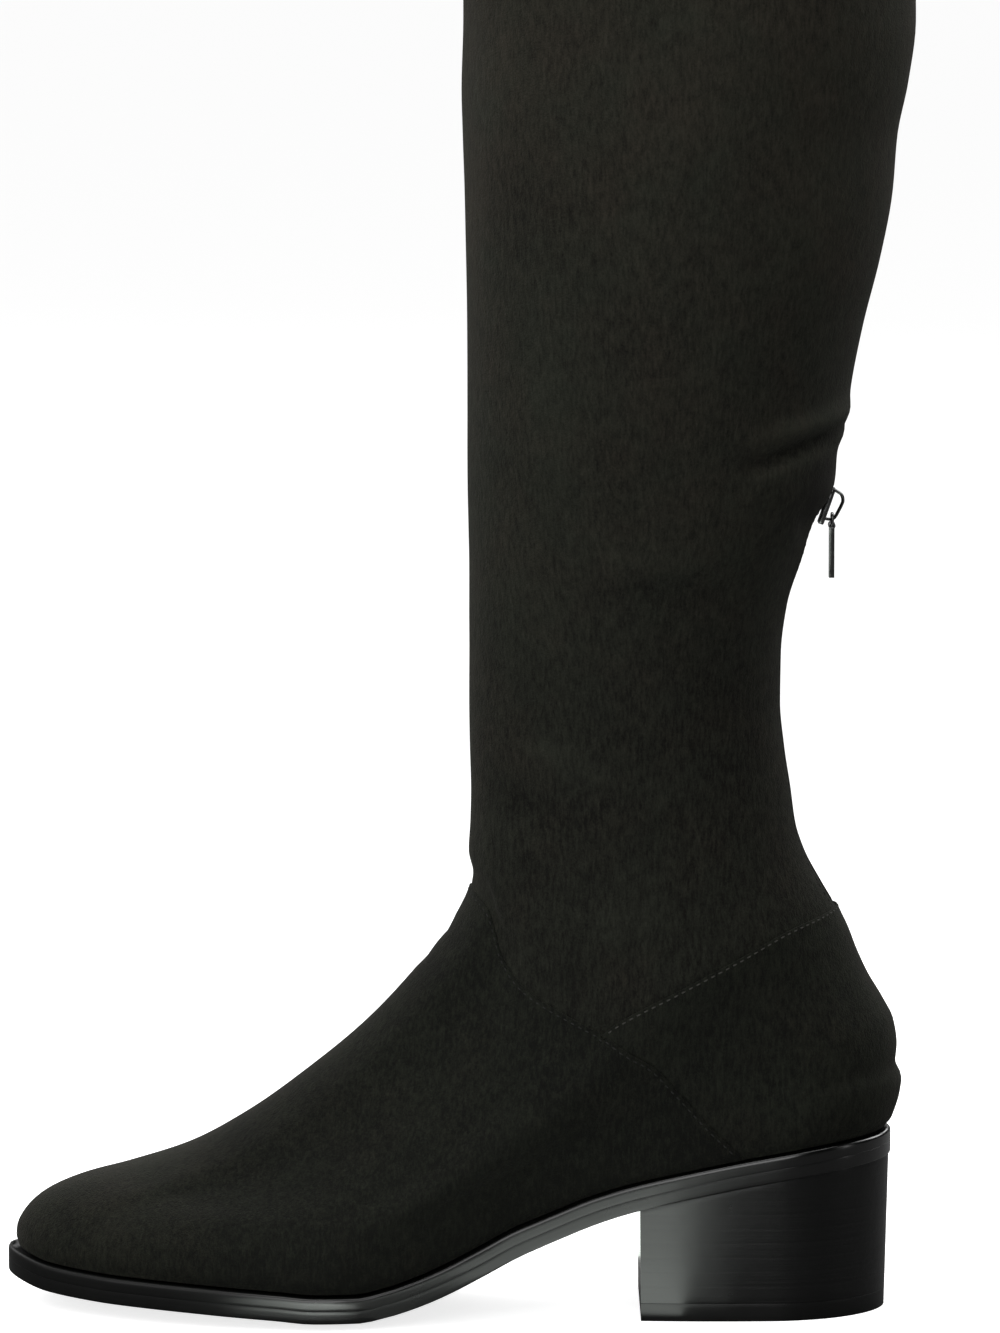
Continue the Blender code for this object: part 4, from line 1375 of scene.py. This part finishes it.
@dataclass
class Bottom:
    """Outsole, midsole, sock, stacked heel and its lift."""

    sole: Sole
    heel_back: float = 37.0
    fine: float = 0.04
    brow: float = 1.1
    outsole: tuple[float, float] = (0.0, 3.74)
    midsole: tuple[float, float] = (3.75, 7.5)
    sock: tuple[float, float] = (7.8, 10.3)
    sock_insets: tuple[float, float] = (4.5, 6.3)
    heel_length: float = 73.5
    heel_inset: float = 0.5
    taper_back: float = 1.2
    taper_side: float = 1.2
    taper_breast: float = 0.3
    lift: float = 5.2
    gap: float = 0.06
    bulge: float = 0.9
    met: float = 99.0
    pieces: dict[str, bpy.types.Object] = field(default_factory=dict)

    def layer(
        self, name: str, insets: tuple[float, float], lifts: tuple[float, float], rounds: tuple[float, float]
    ) -> bpy.types.Object:
        """One layer of the sole with rounded edges, as a closed solid.

        Args:
            name: Its name.
            insets: How far its plan is drawn in at heel and toe.
            lifts: Its underside and top above the underside of the outsole.
            rounds: Radius of its lower and of its upper edge.

        Returns:
            The layer.
        """
        (low, high), (below, above) = lifts, rounds
        turn, across = np.linspace(0, math.pi / 2, 5), np.linspace(-1, 1, 15)[1:-1]
        side = [(below * (1 - math.sin(a)), low + below * (1 - math.cos(a))) for a in turn]
        side += [(0.0, level) for level in np.linspace(low + below, high - above, 4)[1:-1]]
        side += [(above * (1 - math.cos(a)), high - above * (1 - math.sin(a))) for a in turn]
        profile = [(below, low, a) for a in across] + [(*spot, 1.0) for spot in side]
        profile += [(above, high, a) for a in across[::-1]] + [(*spot, -1.0) for spot in side[::-1]]
        u = (1 - np.cos(np.linspace(0, math.pi, 120))) / 2
        rows = []
        for inset, level, a in profile + profile[:1]:
            back, front = insets[0] + inset, insets[1] + inset
            station = back + (self.sole.length - back - front) * u
            middle, half = self.sole.outline(station, back, front)
            z = self.sole.height(station, level, abs(a))
            rows.append(np.stack([self.heel_back - station, middle + a * half, z], -1))
        return Bench.closed(name, np.array(rows))

    def block(self, name: str, levels: Sequence[float], seat: bool) -> bpy.types.Object:
        """A block on the heel's plan, as a closed solid with a flat breast.

        Args:
            name: Its name.
            levels: Heights from its underside to its top, in millimetres. With a seat, the
                last one is a share of the way up to the outsole instead.
            seat: True if its top follows the underside of the outsole.

        Returns:
            The block.
        """
        sole, inset, radius = self.sole, self.heel_inset, self.fine
        reach = self.heel_length - inset
        centre = inset + reach * 0.45
        whole = float(sole.height(np.array(self.heel_length / 2), 0))
        breast = np.linspace(1, -1, 13)[1:-1]
        share = np.concatenate([np.linspace(1, 0, 40), np.linspace(0, 1, 40)[1:], np.ones(12)])
        side = np.concatenate([np.full(40, -1.0), np.full(39, 1.0), breast, [-1.0]])
        along = 1 - np.cos(math.pi / 2 * share)
        low, high = levels[0], levels[-1]
        arc = np.linspace(0, math.pi / 2, 4)
        rings = [(self.met, low)] + [(radius * (1 - math.sin(a)), low + radius * (1 - math.cos(a))) for a in arc]
        rings += [(0.0, level) for level in levels[1:-1]]
        rings += [(radius * (1 - math.cos(a)), high - radius * (1 - math.sin(a))) for a in arc]
        rows = []
        for draw, level in rings + [(self.met, high)]:
            drop = 1 - level / whole
            station = inset + reach * along
            middle, half = sole.outline(station, inset, inset)
            top = sole.height(station, 0) - self.gap
            z = low + (top - low) * (level - low) / (high - low) if seat else np.full_like(station, level)
            station = station + drop * (self.taper_back * (1 - along) - self.taper_breast * along)
            half = half * (1 - drop * self.taper_side / sole.half(0))
            half = half - self.bulge * np.clip((station - 50) / 24, -1, 1) ** 2
            shrink = np.clip(1 - draw / np.maximum(np.hypot(station - centre, half), 1), 0, None)
            station = centre + (station - centre) * shrink
            z = z if draw < self.met else np.full_like(z, z.mean())
            rows.append(np.stack([self.heel_back - station, middle + side * half * shrink, z], -1))
        return Bench.closed(name, np.array(rows))

    def build(self) -> None:
        """Builds every layer."""
        self.pieces = {
            "outsole": self.layer("sole_layer", (0, 0), self.outsole, (0.5, self.fine)),
            "midsole": self.layer("welt_layer", (0, 0), self.midsole, (self.fine, self.brow)),
            "insole": self.layer("sock", self.sock_insets, self.sock, (0.3, 0.3)),
            "heel": self.block("heel_stack", np.linspace(self.lift + self.gap, 40.0, 22), True),
            "heel_lift": self.block("heel_top_piece", np.linspace(0.0, self.lift, 5), False),
        }

    def toe_wear(self, place: Array) -> Array:
        """How dull the edge paint is at points of the sole, in millimetres: at waist and toe.

        Args:
            place: Points with X, Y and Z in each row.

        Returns:
            0 for polished, 1 for dull.
        """
        station = self.heel_back - place[:, 0]
        waist = smooth_step((station - 55) / 30) * (1 - smooth_step((station - 132) / 14))
        return 0.98 * smooth_step((station - 158) / 42) + 0.28 * waist

    def back_wear(self, place: Array) -> Array:
        """How dull the lacquer is at points of the heel, in millimetres."""
        return 0.6 * smooth_step((place[:, 0] - self.heel_back + 46) / 26)

    def dress(self) -> None:
        """Black edge paint, lacquer and rubber, worn dull in places."""
        paint = Polished("black edge paint").build()
        stack = Polished("black stacked heel", roughness=0.3, layers=0.8, ripple=0.00013, coat_roughness=0.24)
        rubber = Polished("black heel rubber", roughness=0.32, coat=0.74, coat_roughness=0.27)
        looks = {
            "outsole": (paint, "sole"), "midsole": (paint, "sole"),
            "insole": (Woven("black sock cloth").build(), "lining"),
            "heel": (stack.build(), "heel"), "heel_lift": (rubber.build(), "heel_lift"),
        }
        for node, (look, slot) in looks.items():
            Bench.write(self.pieces[node], "wear", self.back_wear if node.startswith("heel") else self.toe_wear)
            Bench.dress(self.pieces[node], look, slot, "boot", node)


# ---------------------------------------------------------------- zip


@dataclass
class Zip:
    """Tapes and teeth of the back zip."""

    last: Last
    tape_edge: float = 11.5
    tape_inner: float = 0.2
    tape_depth: float = 2.1
    tape_thick: float = 0.7
    tooth_pitch: float = 2.0
    tooth_height: float = 1.15
    tooth_reach: float = 2.4
    tooth_lap: float = 0.55
    end_gap: float = 1.2
    chain_depth: tuple[float, float] = (0.75, 1.85)
    pieces: dict[str, bpy.types.Object] = field(default_factory=dict)

    def back(self, mark: Array, across: Array | float, depth: float) -> Array:
        """Points below the skin of the back, in metres, at a distance across from its line."""
        turn = np.where(np.asarray(across) < 0, -1, 1) * self.last.turn_at(mark, np.abs(across))
        return self.last.worn(mark, turn, -depth)

    def build_tape(self, side: Side) -> bpy.types.Object:
        """One tape, a band behind the shaft's edge.

        Args:
            side: The side of the zip.

        Returns:
            The tape.
        """
        marks = np.linspace(self.last.top_line - 6, self.last.slot_top + 17, 90)[:, None]
        across = np.linspace(self.tape_inner, self.tape_edge, 9)[None, ::-1]
        across = -across[:, ::-1] if side is Side.OUTER else across
        obj = Bench.sheet(f"tape_{side.label}", self.back(marks, across, self.tape_depth))
        Bench.thicken(obj, self.tape_thick)
        return Bench.smooth(obj)

    def tooth(self) -> bpy.types.Object:
        """One stepped tooth at the origin: +X out of the boot, +Y over its tape, +Z up the zip.

        Returns:
            The tooth.
        """
        wide = self.tooth_reach + self.tooth_lap
        size = self.chain_depth[1] - self.chain_depth[0], wide * 0.62, self.tooth_height
        obj = Bench.bar("tooth", size, (0, self.tooth_reach - wide * 0.31, 0))
        # The whole block is selected, so each step draws out a smaller copy that laps it
        with Bench.editing(obj):
            Bench.draw_out((0, -wide * 0.12, 0), (0.9, 1, 0.62))
            Bench.draw_out((0, -wide * 0.18, 0), (0.9, 1, 1.35))
            Bench.draw_out((0, -wide * 0.08, 0), (0.8, 1, 0.6))
        Bench.round_edges(obj, 0.12, 2, 35)
        return Bench.smooth(obj, 45)

    def build_teeth(self, side: Side) -> bpy.types.Object:
        """One side's row of teeth, every one a copy of the first.

        Args:
            side: The side of the zip.

        Returns:
            The row as one object.
        """
        marks = np.linspace(self.last.top_line, self.last.slot_top, 300)
        path = Path(self.back(marks, 0.0, sum(self.chain_depth) / 2))
        start = self.end_gap + (0 if side is Side.OUTER else self.tooth_pitch / 2)
        across = Vector((0, side.value, 0))
        frames = []
        for place in np.arange(start, path.run[-1] / MM - self.end_gap, self.tooth_pitch) * MM:
            up = (path.at(place + MM) - path.at(place - MM)).normalized()
            frames.append(Path.frame(across.cross(up) * side.value, across, up, path.at(place)))
        return Bench.repeat(f"teeth_{side.label}", self.tooth(), frames)

    def build(self) -> None:
        """Builds both tapes and both rows of teeth."""
        for side in Side:
            self.pieces["tape_" + side.label] = self.build_tape(side)
            self.pieces["teeth_" + side.label] = self.build_teeth(side)

    def dress(self) -> None:
        """Woven tape and dark nickel."""
        tape = Woven("black zip tape", light=(0.02, 0.02, 0.02), thread=0.0009).build()
        metal = Plated("dark nickel").build()
        for side in Side:
            Bench.dress(self.pieces["tape_" + side.label], tape, "zip_tape", "boot", "zip_tape_" + side.label)
        Bench.dress(self.pieces["teeth_outer"], metal, "zip_metal", "boot", "zip_chain")
        Bench.dress(self.pieces["teeth_inner"], metal, "zip_metal", "boot")


@dataclass
class Pull:
    """The zip's slider, its wire link and its tab, in millimetres, each in its packed place."""

    slider_place: tuple[float, float, float] = (17.942, 0, 234.369)
    lean: float = 0.3385
    link_place: tuple[float, float, float] = (19.197, 0, 231.912)
    tab_place: tuple[float, float, float] = (18.997, 0, 228.813)
    length: float = 11.0
    half: float = 3.3
    plate: float = 0.8
    reach: float = 1.7
    flange: float = 0.6
    crown: Curve = Curve.through(
        (-3.75, 0.3), (-3.5, 1.6), (-2.6, 2.85), (-0.6, 3.28), (2.4, 3.6), (4.4, 2.5), (5.0, 0.3)
    )
    crown_width: float = 2.1
    strap: float = 1.0
    wire: float = 0.48
    wire_bend: float = 0.55
    link_half: float = 2.9
    link_length: float = 3.1
    sway: float = 0.2
    tab_size: tuple[float, float, float] = (2.0, 4.4, 15.2)
    tab_slim: tuple[float, float] = (0.78, 0.8)
    tab_neck: float = 0.6
    roll: float = 1.05
    eye: float = 0.56
    pieces: dict[str, bpy.types.Object] = field(default_factory=dict)

    @staticmethod
    def tube(name: str, path: Array, out: Array, thick: float, wide: float, closed: bool) -> bpy.types.Object:
        """A round or flattened bar along a flat path.

        Args:
            name: Its name.
            path: Points along its middle, in millimetres.
            out: The direction square to the plane of the path.
            thick: Half its thickness in that plane.
            wide: Half its width square to that plane.
            closed: True if it joins up with itself.

        Returns:
            The bar as a closed solid.
        """
        along = np.roll(path, -1, axis=0) - np.roll(path, 1, axis=0) if closed else np.gradient(path, axis=0)
        along /= np.linalg.norm(along, axis=1, keepdims=True)
        side = np.cross(along, out)
        turn = np.linspace(0, 2 * math.pi, 13)[None, :, None]
        rows = path[:, None] + thick * np.cos(turn) * side[:, None] + wide * np.sin(turn) * out
        start, end = (np.repeat(path[i, None, None], 13, axis=1) for i in (0, -1))
        return Bench.closed(name, np.concatenate([rows, rows[:1]] if closed else [start, rows, end]))

    def build_slider(self) -> bpy.types.Object:
        """The slider: a waisted plate with two flanges round the chain, and its crown.

        Returns:
            The slider.
        """
        top, low = self.plate / 2, self.plate / 2 - self.reach
        ends = np.array([0.0, 0.16, 0.45, 1.0, 2.4, 4.4, 5.5])
        rows = []
        for level in np.concatenate([ends - self.length / 2, (self.length / 2 - ends)[::-1][1:]]):
            end = 1 - min(self.length / 2 - abs(level), 0.45) / 0.45
            wide = self.half - 0.55 * (abs(level) / 5.5) ** 3 - 0.25 * math.cos(level * 0.9) ** 2 - 0.18 * end**2
            clear, skin = wide - self.flange, top - 0.16 * end**2
            loop = [(skin, 0.0), (skin, wide - 0.5), (skin - 0.1, wide - 0.15), (skin - 0.35, wide)]
            loop += [(low + 0.15, wide), (low, wide - 0.12), (low, clear + 0.1), (low + 0.1, clear)]
            loop += [(top - self.plate, clear), (top - self.plate, 0.0)]
            rows.append([(x, y, level) for x, y in loop + [(x, -y) for x, y in loop[::-1][1:]]])
        body = Bench.sheet("slider", np.array(rows) * MM)
        with Bench.editing(body):
            bpy.ops.mesh.fill_holes(sides=0)
        Bench.outward(body)
        line = Path(np.stack([self.crown.ys, self.crown.xs], -1))
        share, run = np.linspace(0, 1, 26), tuple(line.run / line.run[-1])
        path = np.stack([Curve(run, self.crown.ys)(share), 0 * share, Curve(run, self.crown.xs)(share)], -1)
        across = np.array([0, 1.0, 0])
        crown = self.tube("crown", path, across, self.strap / 2, self.crown_width / 2, False)
        Bench.combine(body, crown, "UNION")
        self.place(body, self.slider_place, self.lean)
        return Bench.smooth(body, 40)

    def build_link(self) -> bpy.types.Object:
        """The link: one closed loop of wire with round corners.

        Returns:
            The link.
        """
        half, foot, bend = self.link_half, -self.link_length, self.wire_bend
        path = []
        for side, level, first in ((-1, 0, 1), (-1, foot, 2), (1, foot, 3), (1, 0, 0)):
            y, z = side * (half - bend), level + (bend if level else -bend)
            for a in np.linspace(first, first + 1, 6) * math.pi / 2:
                path.append((-self.sway * level / foot, y + bend * math.cos(a), z + bend * math.sin(a)))
        link = self.tube("pull_wire", np.array(path), np.array([1.0, 0, 0]), self.wire, self.wire, True)
        self.place(link, self.link_place, 0.0)
        return link

    def build_tab(self) -> bpy.types.Object:
        """The tab: a flat bar, slimmer than the eye above it that is rolled round the wire.

        Returns:
            The tab.
        """
        thick, wide, length = self.tab_size
        neck = self.tab_neck
        size = thick * self.tab_slim[0], wide * self.tab_slim[1], length - neck
        tab = Bench.bar("pull_bar", size, (0, 0, -(length + neck) / 2))
        for radius, depth, operation in ((self.roll, wide, "UNION"), (self.eye, wide + 1, "DIFFERENCE")):
            Bench.clear()
            bpy.ops.mesh.primitive_cylinder_add(
                vertices=32, radius=radius * MM, depth=depth * MM, rotation=(math.pi / 2, 0, 0)
            )
            Bench.combine(tab, Bench.named("eye"), operation)
        Bench.round_edges(tab, 0.16, 2, 50)
        self.place(tab, self.tab_place, 0.0)
        return Bench.smooth(tab, 40)

    @staticmethod
    def place(obj: bpy.types.Object, spot: Sequence[float], lean: float) -> None:
        """Leans and moves a piece's own mesh to its place, in millimetres.

        Args:
            obj: The piece.
            spot: Where its origin goes.
            lean: Turn about Y in radians.
        """
        turned = Matrix.Rotation(lean, 4, "Y")
        turned.translation = Vector(spot) * MM
        obj.data.transform(turned)

    def build(self) -> None:
        """Builds the three pieces."""
        self.pieces = {"slider": self.build_slider(), "pull_link": self.build_link(), "pull_tab": self.build_tab()}

    def dress(self) -> None:
        """Dark nickel; link and tab ride on their own bodies."""
        metal = Plated("dark nickel pull", (0.12, 0.122, 0.12), (0.22, 0.22, 0.215), 0.2).build()
        for name, piece in self.pieces.items():
            Bench.dress(piece, metal, "zip_metal", "boot" if name == "slider" else name, "zip_" + name)


# ---------------------------------------------------------------- studio


@dataclass(frozen=True)
class Softbox:
    """A rectangular soft light aimed at a point."""

    name: str
    place: tuple[float, float, float]
    target: tuple[float, float, float]
    size: tuple[float, float]
    power: float
    gloss_only: bool = False
    gloss_tint: tuple[float, float, float] = (0.93, 1.0, 0.94)

    def build(self) -> None:
        """Adds the light, tinted where it only feeds reflections."""
        Bench.clear()
        bpy.ops.object.light_add(type="AREA", location=self.place)
        lamp = bpy.context.object
        lamp.name = self.name
        lamp.data.shape = "RECTANGLE"
        lamp.data.size, lamp.data.size_y = self.size
        lamp.data.energy = self.power
        lamp.visible_camera = False
        lamp.visible_diffuse = not self.gloss_only
        if self.gloss_only:
            lamp.data.color = self.gloss_tint
        aim = Vector(self.target) - Vector(self.place)
        lamp.rotation_euler = aim.to_track_quat("-Z", "Y").to_euler()


@dataclass
class Studio:
    """Floor, light and camera."""

    target: tuple[float, float, float] = (-0.077, 0.0, 0.18753)
    eye: tuple[float, float, float] = (-0.077, -2.5, 0.5)
    lens: float = 234.6
    floor_radius: float = 30.0
    near_floor: float = 0.25
    far_floor: float = 1.3
    ambient: float = 0.35
    dimmest: float = 0.012
    backdrop: float = 0.985
    boxes: tuple[Softbox, ...] = (
        Softbox("key softbox", (-0.3, -2.3, 1.3), (-0.06, 0, 0.3), (1.9, 2.0), 29),
        Softbox("ball reflector", (-0.141, -0.38, 0.001), (-0.141, -0.38, 1.0), (0.068, 0.62), 0.66, True),
        Softbox("heel reflector", (-0.043, -0.362, 0.001), (-0.043, -0.362, 1.0), (0.037, 0.66), 0.18, True),
        Softbox("faint reflector", (-0.06, -0.37, 0.001), (-0.06, -0.37, 1.0), (0.1, 0.66), 0.05, True),
        Softbox("left softbox", (-2.0, -1.4, 1.5), (-0.08, 0, 0.3), (1.4, 2.0), 20),
        Softbox("edge strip", (1.5, -0.55, 0.5), (0.0, 0, 0.2), (0.16, 1.4), 1.5),
        Softbox("overhead softbox", (-0.1, 0.1, 2.4), (-0.08, 0, 0), (2.4, 1.6), 35),
        Softbox("back softbox", (0.6, 2.2, 1.7), (-0.06, 0, 0.3), (1.8, 1.8), 26),
        Softbox("right softbox", (2.0, 1.3, 1.8), (0.0, 0, 0.3), (1.2, 1.6), 27),
        Softbox("far left softbox", (-1.7, 1.7, 1.7), (-0.08, 0, 0.3), (1.4, 1.6), 16),
        Softbox("inner reflector", (-0.09, 0.365, 0.001), (-0.09, 0.365, 1.0), (0.13, 0.6), 0.4, True),
    )

    @staticmethod
    def grey(level: float) -> Colour:
        """A plain grey."""
        return level, level, level

    def build_floor(self) -> None:
        """The pale floor, lit by itself far from the boot."""
        Bench.clear()
        bpy.ops.mesh.primitive_circle_add(vertices=96, radius=self.floor_radius, fill_type="NGON")
        floor = Bench.named("floor")
        look = Look("pale floor")
        seen = look.add("LightPath").outputs["Is Camera Ray"]
        reach = look.add("VectorMath", {0: look.place()}, operation="LENGTH").outputs["Value"]
        span = {"Value": reach, "From Min": self.near_floor, "From Max": self.far_floor}
        far = look.add("MapRange", span, interpolation_type="SMOOTHSTEP").outputs[0]
        pale = look.mix(look.noise(look.place(), 3, 2), self.grey(0.86), self.grey(0.88))
        pale = look.mix(seen, self.grey(0.08), look.mix(far, pale, self.grey(0.12)))
        glow = look.math("MULTIPLY", seen, look.line(far, 0.16, 0.78))
        floor.data.materials.append(look.finish({
            "Base Color": pale,
            "Emission Color": look.mix(glow, self.grey(0), self.grey(1)),
            "Emission Strength": 1.0,
            "Roughness": 0.9,
        }))

    def build_sky(self) -> None:
        """The sky, brighter on the toe's side, plain to the camera."""
        world = bpy.data.worlds.new("studio")
        world.use_nodes = True
        bpy.context.scene.world = world
        tree = Tree(world.node_tree)
        sky = world.node_tree.nodes["Background"]
        seen = tree.add("LightPath").outputs["Is Camera Ray"]
        way = tree.add("SeparateXYZ", {0: tree.add("TexCoord").outputs["Generated"]}).outputs["X"]
        shade = tree.math("MULTIPLY", tree.math("SUBTRACT", 0.35, way, clamp=True), self.ambient)
        shade = tree.math("MULTIPLY", tree.math("ADD", shade, self.dimmest), tree.math("SUBTRACT", 1.0, seen))
        level = tree.math("ADD", shade, tree.math("MULTIPLY", seen, self.backdrop))
        tree.fill(sky, {"Color": (1, 1, 1, 1), "Strength": level})

    def build_camera(self) -> None:
        """The camera, low over the floor and square to the boot's outer side."""
        Bench.clear()
        bpy.ops.object.camera_add(location=self.eye)
        camera = bpy.context.object
        camera.name = "camera"
        camera.data.lens = self.lens
        camera.data.sensor_width = 36
        camera.data.clip_end = 100
        aim = Vector(self.target) - Vector(self.eye)
        camera.rotation_euler = aim.to_track_quat("-Z", "Y").to_euler()
        bpy.context.scene.camera = camera
        bpy.context.scene.view_settings.view_transform = "Standard"

    def build(self) -> None:
        """Builds the floor, the sky, the lights and the camera."""
        self.build_floor()
        self.build_sky()
        for box in self.boxes:
            box.build()
        self.build_camera()


# ---------------------------------------------------------------- the boot

# Folds of the worn leather: a line of stations and heights, a width and a height in millimetres, then painted shade
# (below 0) or painted highlight (above 0) along it
CREASES = (
    Crease(((12, 264), (22, 261.5), (40, 257.5)), 3.0, 1.4, 0.5),
    Crease(((15, 258.5), (28, 254), (43, 249)), 1.9, -1.7, -0.36),
    Crease(((15, 254), (28, 249.5), (44, 244.5)), 2.8, 0.9, 0.34),
    # Mostly a painted shadow behind the slider, on a shallow trough
    Crease(((16, 252), (22, 239), (27, 226)), 7.0, -0.3, -0.6),
    Crease(((8, 231), (17, 230), (30, 227)), 8.0, -2.4),
    Crease(((103, 168), (80, 155)), 4.5, 0.9, 0.22),
    Crease(((114, 154), (96, 146)), 4.5, -0.9, -0.24),
    Crease(((86, 222), (64, 221), (43, 222)), 4.5, 0.5, 0.12),
    Crease(((86, 213), (64, 214), (43, 213)), 4.5, -0.5, -0.14),
    Crease(((99, 312), (99, 285), (99, 255)), 9.0, 0.4, 0.14),
    Crease(((108, 340), (108, 312)), 8.0, -0.5, -0.14),
    Crease(((112, 134), (100, 130)), 5.0, -0.6, -0.16),
    Crease(((90, 118), (76, 114)), 5.0, 0.5, 0.14),
    Crease(((136, 113), (122, 108)), 2.6, -0.5, -0.14),
    Crease(((143, 105), (130, 100)), 2.6, -0.4, -0.12),
)


def main() -> None:
    """Builds and dresses the boot, then the studio round it."""
    logging.basicConfig(level=logging.INFO, format="%(name)s %(message)s")
    last = Last(creases=CREASES)
    parts = (Upper(last, Sewing()), Bottom(last.sole), Zip(last), Pull())
    for part in parts:
        part.build()
        part.dress()
    Studio().build()


if __name__ == "__main__":
    main()
